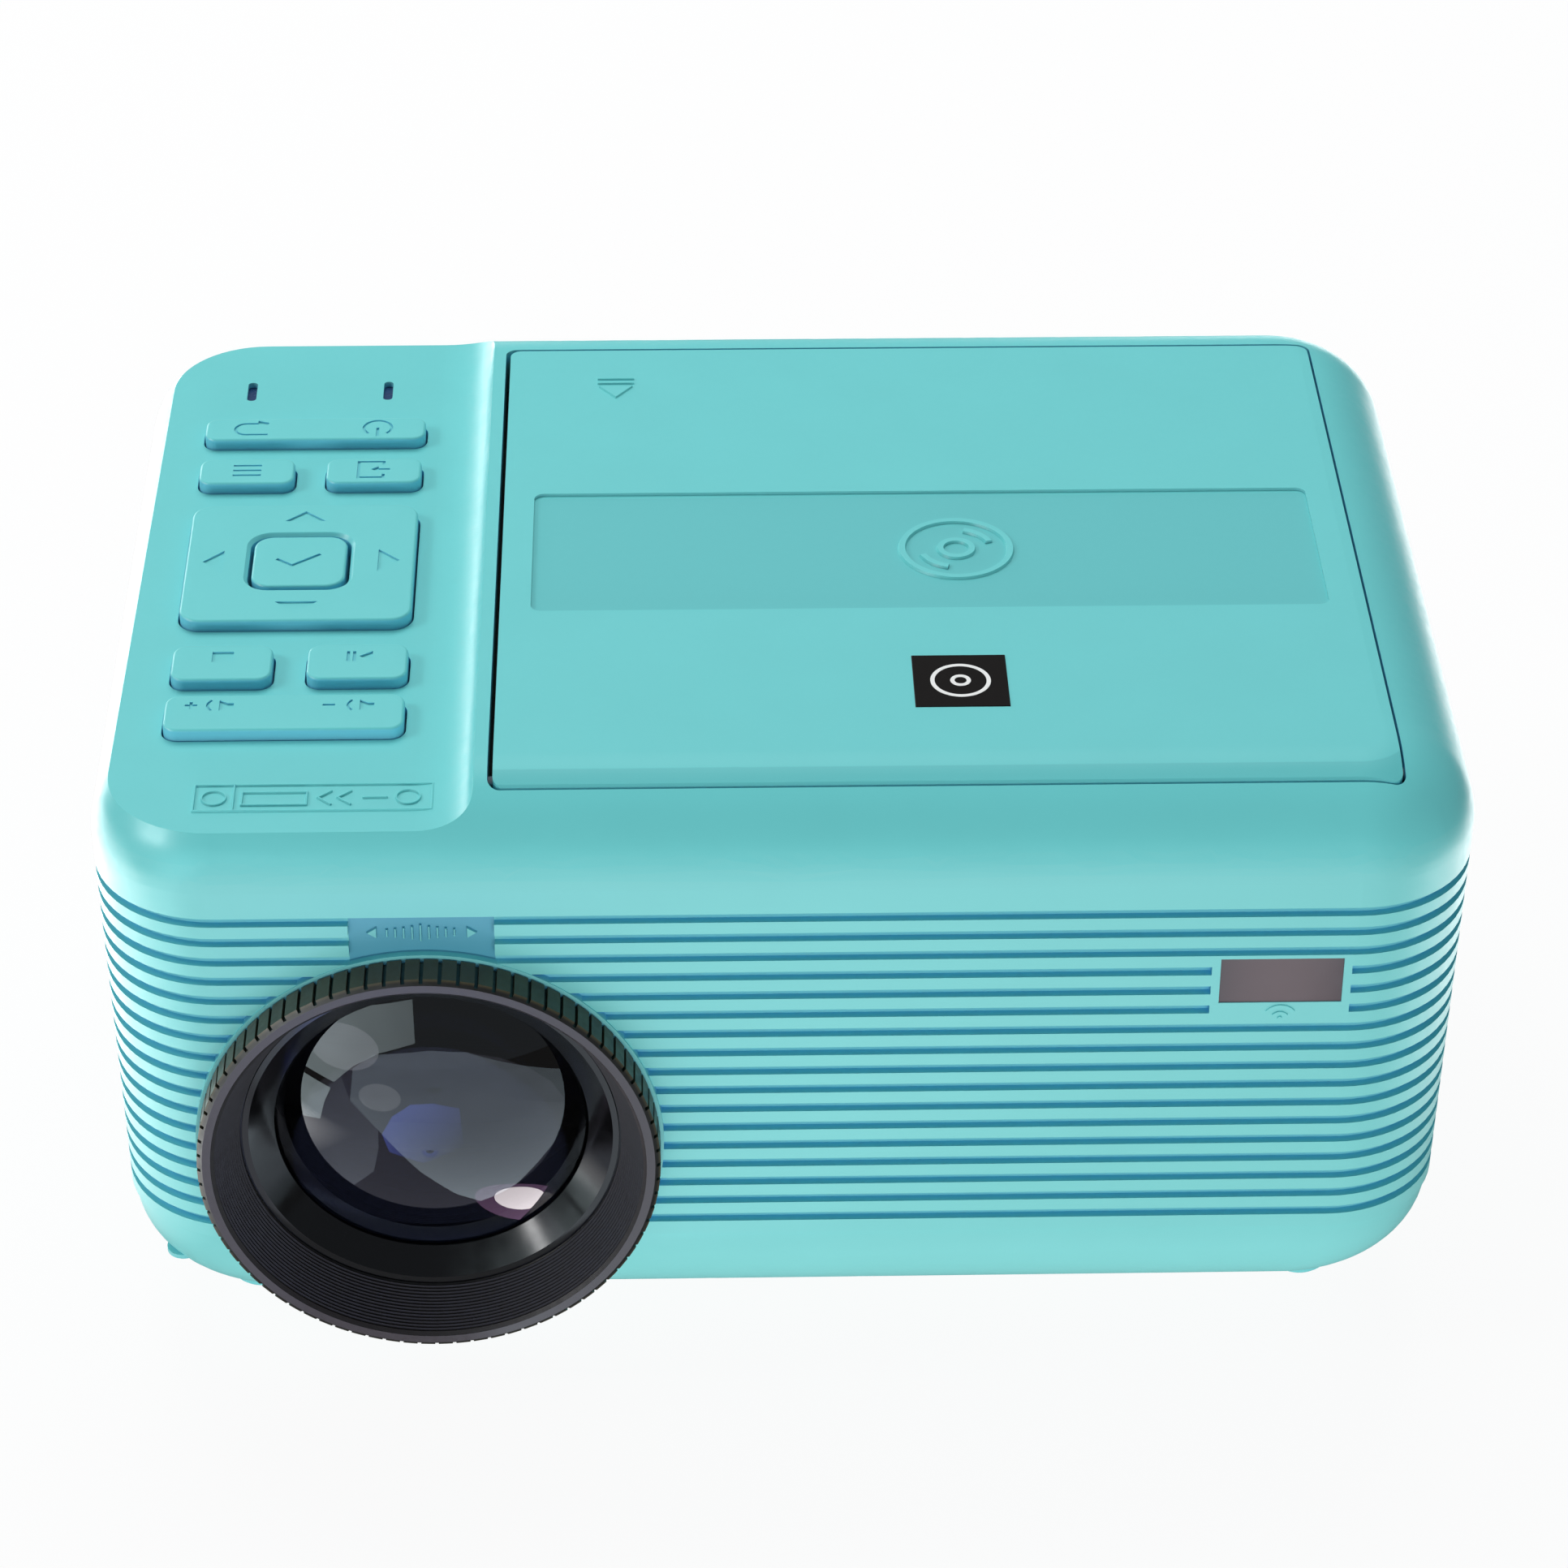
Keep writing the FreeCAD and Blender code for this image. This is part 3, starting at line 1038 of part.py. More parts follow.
def make_key_membrane():
    """The rubber sheet under the keys: its domes, and two saddles for the pivot frame's pins."""
    x, _ = key_centre("volume_key")
    sheet = slab((x - 21.5, x + 21.5, -47.0, 48.5), 2.0, -KEYBOARD_W, MEMBRANE_TOP)
    raised = []
    for dome_x, dome_y in dome_places():
        raised.append(upright_turn(dome_x, dome_y, [
            (0, MEMBRANE_TOP), (2.6, MEMBRANE_TOP), (1.8, DOME_TOP), (0, DOME_TOP)]))
    x, y = key_centre("dpad_plate")
    for dx, dy in DPAD_WAYS:
        raised.append(upright_turn(x + dx * DPAD_DOME, y + dy * DPAD_DOME, [
            (0, MEMBRANE_TOP), (1.6, MEMBRANE_TOP), (1.1, DOME_TOP), (0, DOME_TOP)]))
    for dx in (-1, 1):
        x0, x1 = sorted((x + dx * GIMBAL_SEAT[0], x + dx * GIMBAL_SEAT[1]))
        saddle = box(x0, x1, y - 1.6, y + 1.6, MEMBRANE_TOP, GIMBAL_AXIS)
        bore = cyl(GIMBAL_PIN_R + RUNNING, (x0 - 1, y, GIMBAL_AXIS), (x1 + 1, y, GIMBAL_AXIS))
        raised.append(saddle.cut(bore))
    return onto_panel(sheet.fuse(raised).removeSplitter())


def make_key_board():
    x, _ = key_centre("volume_key")
    return onto_panel(slab((x - 21.5, x + 21.5, -53.0, 61.0), 2.0, -KEYBOARD_W - BOARD, -KEYBOARD_W))


def make_light_pipes():
    pipes = [onto_panel(led_slot(x, -KEYBOARD_W, -0.9)) for x in LED_X]
    return Part.makeCompound(pipes)


# ---- Electronics ---------------------------------------------------------------------------------
def make_main_board():
    z = MAIN_BOARD_Z
    board = slab((-8.0, 85.0, -56.0, 66.0), 2.0, z, z + BOARD)
    chips = [
        box(20, 40, -20, 0, z + BOARD, z + BOARD + 2.0), box(48, 62, -24, -14, z + BOARD, z + BOARD + 1.2),
        box(48, 60, -6, 6, z + BOARD, z + BOARD + 1.2), box(66, 78, 8, 20, z + BOARD, z + BOARD + 1.0),
    ]
    caps = [Part.makeCylinder(3.0, 7.0, V(x, 34, z + BOARD)) for x in (24, 34, 44)]
    return board.fuse(chips + caps).removeSplitter()


def make_power_board():
    z = POWER_BOARD_Z
    board = slab((10.0, 76.0, -38.0, 48.0), 2.0, z, z + BOARD)
    core = box(24, 44, -4, 16, z + BOARD, z + BOARD + 18)
    top = z + BOARD
    caps = [Part.makeCylinder(7.0, 24.0, V(62, 20, top)), Part.makeCylinder(4.0, 14.0, V(30, -22, top))]
    sink = box(50, 70, -20, -18, z + BOARD, z + BOARD + 20)
    return board.fuse(caps + [core, sink]).removeSplitter()


def make_speakers():
    """Two small loudspeakers that face the slots in the right side."""
    profile = [
        (0, -9.0), (9.0, -9.0), (9.0, -5.5), (14.0, -5.5), (18.5, -1.4),
        (18.5, 0), (16.0, 0), (9.0, -2.2), (0, -1.2),
    ]
    places = [(SPEAKER_FACE, y, SPEAKER_Z) for y in SPEAKER_Y]
    return Part.makeCompound([revolve(profile, place, X_AXIS, Z_AXIS) for place in places])


# ---- Rear sockets and small parts ----------------------------------------------------------------
def socket_shell(x, w, h, z):
    return box(x - w / 2, x + w / 2, 58.0, REAR + 0.8, z, z + h)


def make_hdmi_socket():
    z = MAIN_BOARD_Z + BOARD
    shell = socket_shell(HDMI_X, 15.6, 6.4, z)
    shell = shell.cut(box(HDMI_X - 7.2, HDMI_X + 7.2, 62.0, 90, z + 0.6, z + 5.8))
    return shell.fuse(box(HDMI_X - 5.5, HDMI_X + 5.5, 62.0, REAR - 1.5, z + 4.9, z + 5.8)).removeSplitter()


def make_usb_socket():
    z = MAIN_BOARD_Z + BOARD
    shell = socket_shell(USB_X, 14.4, 8.0, z)
    shell = shell.cut(box(USB_X - 6.4, USB_X + 6.4, 61.0, 90, z + 0.8, z + 7.2))
    return shell.fuse(box(USB_X - 5.6, USB_X + 5.6, 61.0, REAR - 1.5, z + 5.6, z + 7.2)).removeSplitter()


def make_audio_jacks():
    z = MAIN_BOARD_Z + BOARD
    jacks = []
    for x in JACKS_X:
        body = box(x - 4, x + 4, 58.0, 71.0, z, z + 7.0)
        body = body.fuse(cyl(3.6, (x, 70.0, z + 3.6), (x, REAR + 0.8, z + 3.6)))
        jacks.append(body.cut(cyl(1.8, (x, 60.0, z + 3.6), (x, 80.0, z + 3.6))).removeSplitter())
    return Part.makeCompound(jacks)


def make_io_plate():
    z = MAIN_BOARD_Z + BOARD
    plate_solid = box(IO_PLATE[0], IO_PLATE[1], REAR - 2.0, REAR, IO_PLATE[2], IO_PLATE[3])
    plate_solid = plate_solid.cut(box(HDMI_X - 7.8, HDMI_X + 7.8, 60, 80, z, z + 6.4))
    plate_solid = plate_solid.cut(box(USB_X - 7.2, USB_X + 7.2, 60, 80, z, z + 8.0))
    for x in JACKS_X:
        plate_solid = plate_solid.cut(cyl(3.6, (x, 60, z + 3.6), (x, 80, z + 3.6)))
    return plate_solid


def make_power_inlet():
    x0, x1, z0, z1 = INLET
    cx = (x0 + x1) / 2
    cz = (z0 + z1) / 2
    body = box(x0, x1, 56.0, 74.2, z0, z1)
    flange = box(x0 - 2, x1 + 2, 69.0, 70.6, z0 - 2, z1 + 2)
    recess = box(cx - 3.6, cx + 3.6, 60.0, 80.0, cz - 3.5, cz + 3.5)
    for x in (cx - 3.6, cx + 3.6):
        recess = recess.fuse(cyl(3.5, (x, 60.0, cz), (x, 80.0, cz)))
    pins = [cyl(1.2, (cx + dx, 59.0, cz), (cx + dx, 69.0, cz)) for dx in (-4.3, 4.3)]
    body = body.cut(recess).fuse(pins)
    return body.fuse(flange.cut(box(x0 + 1, x1 - 1, 60, 80, z0 + 1, z1 - 1))).removeSplitter()


def make_ir_window():
    y0 = front_y(IR_Z)
    return box(IR_WINDOW[0], IR_WINDOW[1], y0 + 0.25, y0 + 2.4, IR_WINDOW[2], IR_WINDOW[3])


def front_y(z):
    return BODY_Y - DEPTH / 2 + DRAFT * (HEIGHT - z)


def make_ir_receiver():
    y0 = front_y(IR_Z) + 2.9
    board = box(60.2, 82.0, y0 + 4.0, y0 + 5.2, 64.0, 74.0)
    lens = cyl(2.5, (71.0, y0, IR_Z), (71.0, y0 + 4.0, IR_Z))
    case = box(68.0, 74.0, y0 + 1.6, y0 + 4.0, 65.5, 72.0)
    return board.fuse([lens, case]).removeSplitter()


# ---- Everything, one file each -------------------------------------------------------------------
def build_all():
    parts["top_cover"] = make_top_cover()
    parts["ribbed_housing"] = make_ribbed_housing()
    parts["bottom_cover"] = make_bottom_cover()
    parts["feet"] = Part.makeCompound(foot_solids())
    parts["base_screws"] = make_base_screws()
    parts["tripod_insert"] = make_tripod_insert()
    parts["disc_lid"] = make_disc_lid()
    parts["lid_hinge_pins"] = make_lid_hinge_pins()
    parts["latch_clip"] = make_latch_clip()
    parts["disc_deck"] = make_disc_deck()
    parts["mech_chassis"] = make_mech_chassis()
    parts["mech_grommets"] = make_mech_grommets()
    parts["small_screws"] = make_small_screws()
    parts["spindle_motor"] = make_spindle_motor()
    parts["turntable"] = make_turntable()
    parts["turntable_pad"] = make_turntable_pad()
    parts["sled_rods"] = make_sled_rods()
    parts["pickup_sled"] = make_pickup_sled()
    parts["objective_lens"] = make_objective_lens()
    parts["lead_screw"] = make_lead_screw()
    parts["sled_motor"] = make_sled_motor()
    parts["focus_ring"] = make_focus_ring()
    parts["guide_tube"] = make_guide_tube()
    parts["lens_barrel"] = make_lens_barrel()
    parts["follower_pins"] = make_follower_pins()
    parts["lens_bezel"] = make_lens_bezel()
    parts["front_lens"] = make_front_lens()
    parts["rear_lens"] = make_rear_lens()
    parts["optical_box"] = make_optical_box()
    parts["field_lens"] = plate(PLATE_Y[0])
    parts["lcd_panel"] = make_lcd_panel()
    parts["fresnel_lens"] = plate(PLATE_Y[2])
    parts["condenser_lens"] = make_condenser_lens()
    parts["led_module"] = make_led_module()
    parts["heat_sink"] = make_heat_sink()
    parts["fan_frame"] = make_fan_frame()
    parts["fan_rotor"] = make_fan_rotor()
    for name in ("menu_key", "source_key", "stop_key", "play_key"):
        parts[name] = make_push_key(name)
    for name in ("power_key", "volume_key"):
        parts[name] = make_rocker_key(name)
    parts["dpad_plate"] = make_dpad_plate()
    parts["dpad_pivot"] = make_dpad_pivot()
    parts["ok_key"] = make_ok_key()
    parts["key_membrane"] = make_key_membrane()
    parts["key_board"] = make_key_board()
    parts["light_pipes"] = make_light_pipes()
    parts["main_board"] = make_main_board()
    parts["power_board"] = make_power_board()
    parts["speakers"] = make_speakers()
    parts["io_plate"] = make_io_plate()
    parts["hdmi_socket"] = make_hdmi_socket()
    parts["usb_socket"] = make_usb_socket()
    parts["audio_jacks"] = make_audio_jacks()
    parts["power_inlet"] = make_power_inlet()
    parts["ir_window"] = make_ir_window()
    parts["ir_receiver"] = make_ir_receiver()


build_all()
os.makedirs("parts", exist_ok=True)
for name, shape in parts.items():
    shape.exportStep("parts/%s.step" % name)
    print(name, len(shape.Solids), shape.isValid(), round(shape.Volume / 1000, 2))
print(len(parts), "files")
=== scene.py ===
import json
import math

import bmesh
import bpy
from mathutils import Matrix, Quaternion, Vector

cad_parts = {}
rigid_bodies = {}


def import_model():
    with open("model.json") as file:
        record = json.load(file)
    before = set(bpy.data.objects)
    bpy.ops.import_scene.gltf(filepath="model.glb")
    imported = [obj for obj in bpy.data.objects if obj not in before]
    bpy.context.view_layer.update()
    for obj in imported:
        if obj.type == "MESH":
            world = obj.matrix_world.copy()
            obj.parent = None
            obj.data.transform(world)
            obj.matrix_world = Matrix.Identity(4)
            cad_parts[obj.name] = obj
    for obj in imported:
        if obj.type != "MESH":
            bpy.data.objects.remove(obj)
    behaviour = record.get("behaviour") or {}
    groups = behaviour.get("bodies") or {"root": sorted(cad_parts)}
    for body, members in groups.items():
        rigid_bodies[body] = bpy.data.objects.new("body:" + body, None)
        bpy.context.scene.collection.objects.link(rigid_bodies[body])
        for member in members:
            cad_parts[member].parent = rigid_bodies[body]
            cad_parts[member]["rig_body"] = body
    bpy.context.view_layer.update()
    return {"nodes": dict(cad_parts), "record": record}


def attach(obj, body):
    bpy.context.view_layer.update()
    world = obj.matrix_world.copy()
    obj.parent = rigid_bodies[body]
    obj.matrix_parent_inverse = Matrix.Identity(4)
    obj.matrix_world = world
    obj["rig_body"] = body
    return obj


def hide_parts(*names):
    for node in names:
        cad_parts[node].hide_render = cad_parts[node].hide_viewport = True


# Looks of a small video projector with a top-loading disc player.  Lengths are in millimetres and
# are turned into metres where a mesh is made, but the floor and the softboxes are in metres.

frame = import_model()
MM = 0.001

# ---- Places taken over from the solids -----------------------------------------------------------
LID_Z = 100.0
STRIP_Z = 99.55
PANEL_Z = 95.176          # control panel's height at y = 0
PANEL_SLOPE = 0.01014     # its climb towards the back
KEY_TOP = 1.85            # key tops above the panel
FRONT_Y = -70.41          # front face at the lid plane's height
DRAFT = 0.02
GROOVE_DEPTH = 1.3
LENS_X = -52.1
LENS_Z = 40.66
RING_FRONT = -75.63
CONE_R = (31.7, 27.9)     # inner cone of the focus ring, front and back
CONE_DEPTH = 7.7
RIM_R = 32.9              # flat front rim of the ring ends here
FLUTE_R = (33.3, 33.6)    # bottom and flank of the flutes on its band
BARREL_RIM_R = 26.7
GLASS_EDGE_Y = -64.9      # where the front glass meets its bezel
GLASS_CURVE = 42.0
GLASS_R = 23.1
FOCUS_PAD = (-62.45, -41.7, 50.0, 81.5)   # the sunk field above the ring: x and z limits
FRONT_SHELL_Y = -66.0     # only the shell's front lies before this
WINDOW_X = (62.2, 79.9)   # infrared window, left and right

# ---- Colours -------------------------------------------------------------------------------------
SHELL = "6CCDCD"
SHELL_SIDE_SHEEN = "7BCFCE"     # painted sheen: the same plastic on upright faces, a touch paler
SHADE = "64BBE4"          # painted shade: what the turquoise turns to in crevices
# painted shade on the keys' upright sides
KEY_SIDE_SHADE = "70C8DC"
FOCUS_FIELD = "5AA6BC"    # the sunk field above the ring
STRIP_FLOOR = "62C1C2"    # the sunk strip across the lid
RING_BAND = "3A3522"
RING_RIM = "474145"
INK_BLACK = "15110F"
INK_WHITE = "F2F2EF"


def linear(code):
    """An sRGB hex code as linear red, green and blue."""
    channels = [int(code[i:i + 2], 16) / 255 for i in (0, 2, 4)]
    return tuple(c / 12.92 if c <= 0.04045 else ((c + 0.055) / 1.055) ** 2.4 for c in channels)


def scaled(code, factor):
    return tuple(c * factor for c in linear(code))


# ---- Surfaces that carry marks -------------------------------------------------------------------
PANEL_COS = 1 / math.hypot(1, PANEL_SLOPE)
PANEL_SIN = PANEL_SLOPE * PANEL_COS


def on_panel(u, v, w):
    return Vector((u, v * PANEL_COS - w * PANEL_SIN, PANEL_Z + v * PANEL_SIN + w * PANEL_COS)) * MM


def on_key(u, v, w):
    return on_panel(u, v, w + KEY_TOP)


def on_lid(u, v, w):
    return Vector((u, v, LID_Z + w)) * MM


def on_strip(u, v, w):
    return Vector((u, v, STRIP_Z + w)) * MM


def front_y(z):
    return FRONT_Y + DRAFT * (LID_Z - z)


def on_front(u, v, w):
    return Vector((u, front_y(v) - w, v)) * MM


def on_focus_pad(u, v, w):
    return Vector((u, front_y(v) + GROOVE_DEPTH - w, v)) * MM


# ---- Outlines ------------------------------------------------------------------------------------
def arc(cx, cy, r, start, end, count=16, squeeze=1.0):
    """Points along a circle's arc; angles in degrees, squeeze flattens it in v."""
    points = []
    for i in range(count + 1):
        a = math.radians(start + (end - start) * i / count)
        points.append((cx + r * math.cos(a), cy + r * math.sin(a) * squeeze))
    return points


def circle(cx, cy, r, count=40):
    return arc(cx, cy, r, 0, 360 - 360 / count, count - 1)


def rectangle(x0, x1, y0, y1):
    return [(x0, y0), (x1, y0), (x1, y1), (x0, y1)]


def side_points(points, offset, closed):
    """Points moved sideways by offset, mitred at each corner."""
    moved = []
    last = len(points) - 1
    for i, here in enumerate(points):
        before = points[i - 1] if closed or i else None
        after = points[(i + 1) % len(points)] if closed or i < last else None
        normals = []
        for a, b in ((before, here), (here, after)):
            if a is not None and b is not None:
                d = Vector((b[0] - a[0], b[1] - a[1])).normalized()
                normals.append(Vector((-d.y, d.x)))
        mean = sum(normals, Vector((0, 0))).normalized()
        reach = offset / max(mean.dot(normals[0]), 0.4)
        moved.append((here[0] + mean.x * reach, here[1] + mean.y * reach))
    return moved


def band(points, width):
    """An open stroke's outline as one polygon."""
    left = side_points(points, width / 2, False)
    right = side_points(points, -width / 2, False)
    return left + right[::-1]


# ---- Mesh pieces ---------------------------------------------------------------------------------
SINK = 0.06               # raised marks start this far below the surface they stand on
PLATE_SLOPE = 0.12        # how far the sides of a raised shape lean in
SHARP_ADDED = math.radians(30)    # edges sharper than this stay crisp, on added pieces
SHARP_CUT = math.radians(28)      # and on cut copies of solids
FLAT = 0.9995             # a face this near to level is shaded flat
SIGN_DEPTH = 0.3          # engraved signs
LATHE_SEGMENTS = 144


def link_object(name, data):
    made = bpy.data.objects.new(name, data)
    bpy.context.scene.collection.objects.link(made)
    return made


def to_mesh(bm, name):
    mesh = bpy.data.meshes.new(name)
    bm.to_mesh(mesh)
    bm.free()
    return mesh


def finish_piece(bm, name, body, material):
    """Turn a bmesh into an object with the given finish, riding on a body."""
    bmesh.ops.recalc_face_normals(bm, faces=bm.faces)
    mesh = to_mesh(bm, name)
    mesh.shade_smooth()
    mesh.set_sharp_from_angle(angle=SHARP_ADDED)
    mesh.materials.append(material)
    piece = link_object(name, mesh)
    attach(piece, body)
    return piece


def add_ridge(bm, points, width, height, place, closed):
    """A raised stroke with sloping sides."""
    crest = max(width / 2 - height * 0.45, width * 0.2)
    rows = [
        [place(u, v, -SINK) for u, v in side_points(points, width / 2, closed)],
        [place(u, v, height) for u, v in side_points(points, crest, closed)],
        [place(u, v, height) for u, v in side_points(points, -crest, closed)],
        [place(u, v, -SINK) for u, v in side_points(points, -width / 2, closed)],
    ]
    rows = [[bm.verts.new(p) for p in row] for row in rows]
    count = len(points)
    for i in range(count if closed else count - 1):
        j = (i + 1) % count
        for k in range(4):
            a, b = rows[k], rows[(k + 1) % 4]
            bm.faces.new((a[i], a[j], b[j], b[i]))
    if not closed:
        for i in (0, count - 1):
            bm.faces.new([row[i] for row in rows])


def add_plate(bm, outline, height, place):
    """A raised flat shape with sloping sides; the outline runs anticlockwise."""
    low = [bm.verts.new(place(u, v, -SINK)) for u, v in outline]
    high = [bm.verts.new(place(u, v, height)) for u, v in side_points(outline, PLATE_SLOPE, True)]
    count = len(outline)
    for i in range(count):
        j = (i + 1) % count
        bm.faces.new((low[i], low[j], high[j], high[i]))
    bm.faces.new(high)
    bm.faces.new(low[::-1])


def raised_marks(name, place, body, material, ridges=(), plates=(), width=0.5, height=0.25):
    """One piece that holds all the raised strokes and shapes of a sign."""
    bm = bmesh.new()
    for points, closed in ridges:
        add_ridge(bm, points, width, height, place, closed)
    for outline in plates:
        add_plate(bm, outline, height, place)
    return finish_piece(bm, name, body, material)


def prism(outline, place, low, high):
    """A closed upright block over an outline, used as a cutter."""
    bm = bmesh.new()
    rings = [[bm.verts.new(place(u, v, w)) for u, v in outline] for w in (low, high)]
    for i in range(len(outline)):
        j = (i + 1) % len(outline)
        bm.faces.new((rings[0][i], rings[0][j], rings[1][j], rings[1][i]))
    bm.faces.new(rings[0])
    bm.faces.new(rings[1])
    bmesh.ops.recalc_face_normals(bm, faces=bm.faces)
    return link_object("cutter", to_mesh(bm, "cutter"))


def cut_away(piece, cutter):
    """Take the cutter's shape out of the piece, and remove the cutter."""
    cut = piece.modifiers.new("cut", "BOOLEAN")
    cut.operation = "DIFFERENCE"
    cut.solver = "EXACT"
    cut.object = cutter
    graph = bpy.context.evaluated_depsgraph_get()
    result = bpy.data.meshes.new_from_object(piece.evaluated_get(graph))
    piece.modifiers.clear()
    piece.data = result
    bpy.data.objects.remove(cutter)


def stand_in(node, name, material, cutters, level, shape=None):
    """A copy of a solid with shapes cut into it, which stands for the plain one."""
    source = frame["nodes"][node]
    bm = bmesh.new()
    bm.from_mesh(source.data)
    bmesh.ops.remove_doubles(bm, verts=bm.verts, dist=2e-6)
    if shape:
        for vert in bm.verts:
            shape(vert)
    piece = link_object(name, to_mesh(bm, name))
    for cutter in cutters:
        cut_away(piece, cutter)
    if "custom_normal" in piece.data.attributes:
        piece.data.attributes.remove(piece.data.attributes["custom_normal"])
    piece.data.shade_smooth()
    for face in piece.data.polygons:
        face.use_smooth = abs(face.normal.dot(level)) < FLAT
    piece.data.set_sharp_from_angle(angle=SHARP_CUT)
    piece.data.materials.clear()
    piece.data.materials.append(material)
    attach(piece, source["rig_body"])
    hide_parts(node)


def engraved(node, material, outlines):
    """A key with signs cut into its top."""
    cutters = [prism(outline, on_key, -SIGN_DEPTH, 0.4) for outline in outlines]
    level = Vector((0, -PANEL_SIN, PANEL_COS))
    stand_in(node, node + "_engraved", material, cutters, level)


def lathe(name, profile, body, material):
    """A closed ring round the lens axis from (radius, y) points."""
    bm = bmesh.new()
    loops = []
    for k in range(LATHE_SEGMENTS):
        a = 2 * math.pi * k / LATHE_SEGMENTS
        places = [Vector((LENS_X + r * math.cos(a), y, LENS_Z + r * math.sin(a))) for r, y in profile]
        loops.append([bm.verts.new(place * MM) for place in places])
    for k in range(LATHE_SEGMENTS):
        here, there = loops[k], loops[(k + 1) % LATHE_SEGMENTS]
        for i in range(len(profile)):
            j = (i + 1) % len(profile)
            bm.faces.new((here[i], here[j], there[j], there[i]))
    return finish_piece(bm, name, body, material)


# ---- Material recipes ----------------------------------------------------------------------------
class Recipe:
    """A material's node tree with short names for the steps that the finishes share."""

    def __init__(self, name):
        self.material = bpy.data.materials.new(name)
        self.material.use_nodes = True
        self.tree = self.material.node_tree
        self.shader = self.tree.nodes["Principled BSDF"]
        self.place = self.add("ShaderNodeTexCoord").outputs["Object"]

    def add(self, kind, **settings):
        made = self.tree.nodes.new(kind)
        for key, value in settings.items():
            setattr(made, key, value)
        return made

    def link(self, out, socket):
        self.tree.links.new(out, socket)

    def set(self, **values):
        for key, value in values.items():
            self.shader.inputs[key.replace("_", " ")].default_value = value

    def math(self, operation, a, b=0.0):
        made = self.add("ShaderNodeMath", operation=operation)
        for socket, value in zip(made.inputs, (a, b)):
            if isinstance(value, (int, float)):
                socket.default_value = value
            else:
                self.link(value, socket)
        return made.outputs[0]

    def remap(self, value, from_low, from_high, to_low=0.0, to_high=1.0):
        made = self.add("ShaderNodeMapRange")
        self.link(value, made.inputs["Value"])
        names = ("From Min", "From Max", "To Min", "To Max")
        for name, number in zip(names, (from_low, from_high, to_low, to_high)):
            made.inputs[name].default_value = number
        return made.outputs["Result"]

    def noise(self, size, detail):
        """Cloudy noise whose blobs are about size millimetres across."""
        made = self.add("ShaderNodeTexNoise")
        self.link(self.place, made.inputs["Vector"])
        made.inputs["Scale"].default_value = 1 / (size * MM)
        made.inputs["Detail"].default_value = detail
        made.inputs["Roughness"].default_value = 0.5
        return made.outputs["Fac"]

    def blend(self, factor, first, second):
        """Mix two colours; each is a tuple or another step's output."""
        made = self.add("ShaderNodeMix", data_type="RGBA")
        self.link(factor, made.inputs["Factor"])
        # A Mix node's colour sockets are inputs 6 and 7 and output 2.
        for socket, value in ((made.inputs[6], first), (made.inputs[7], second)):
            if isinstance(value, tuple):
                socket.default_value = (*value, 1.0)
            else:
                self.link(value, socket)
        return made.outputs[2]

    def bump(self, height, depth, strength):
        """Relief of about depth millimetres."""
        made = self.add("ShaderNodeBump")
        made.inputs["Strength"].default_value = strength
        made.inputs["Distance"].default_value = depth * MM
        self.link(height, made.inputs["Height"])
        return made.outputs["Normal"]

    def axes(self):
        made = self.add("ShaderNodeSeparateXYZ")
        self.link(self.place, made.inputs[0])
        return made.outputs

    def lens_radius(self):
        """Distance from the lens axis, in metres."""
        x, _, z = self.axes()
        dx = self.math("SUBTRACT", x, LENS_X * MM)
        dz = self.math("SUBTRACT", z, LENS_Z * MM)
        squares = self.math("ADD", self.math("MULTIPLY", dx, dx), self.math("MULTIPLY", dz, dz))
        return self.math("SQRT", squares)

    def openness(self, reach):
        """1 in the open, 0 deep in a crevice narrower than reach millimetres."""
        made = self.add("ShaderNodeAmbientOcclusion", samples=8)
        made.inputs["Distance"].default_value = reach * MM
        return made.outputs["AO"]

    def facing_up(self):
        """1 on level surfaces, 0 on upright ones."""
        geometry = self.add("ShaderNodeNewGeometry")
        parts = self.add("ShaderNodeSeparateXYZ")
        self.link(geometry.outputs["True Normal"], parts.inputs[0])
        return parts.outputs[2]

    def colour(self, value):
        self.link(value, self.shader.inputs["Base Color"])
        return self

    def relief(self, normal):
        self.link(normal, self.shader.inputs["Normal"])
        return self

    def roughness(self, value):
        self.link(value, self.shader.inputs["Roughness"])
        return self


def turquoise(name):
    """The shell's plastic as a recipe, and its colour: paler on upright faces as painted sheen, and bluer
    as painted shade wherever a crevice shuts the light out.
    """
    r = Recipe(name)
    upright = r.remap(r.facing_up(), 0.35, 0.05)
    cloud = r.noise(14.0, 4.0)
    plain = r.blend(cloud, scaled(SHELL, 0.975), scaled(SHELL, 1.025))
    # painted sheen: upright faces are a touch paler than level ones
    side = r.blend(cloud, scaled(SHELL_SIDE_SHEEN, 0.975), scaled(SHELL_SIDE_SHEEN, 1.025))
    plain = r.blend(upright, plain, side)
    # painted shade: deep in crevices the turquoise turns bluer, by how little light reaches them
    plain = r.blend(r.remap(r.openness(2.5), 0.1, 0.55), linear(SHADE), plain)
    r.roughness(r.remap(r.noise(1.4, 2.0), 0.3, 0.7, 0.32, 0.40))
    r.relief(r.bump(r.noise(0.35, 1.0), 0.012, 0.6))
    r.set(Specular_IOR_Level=0.45)
    return r, plain


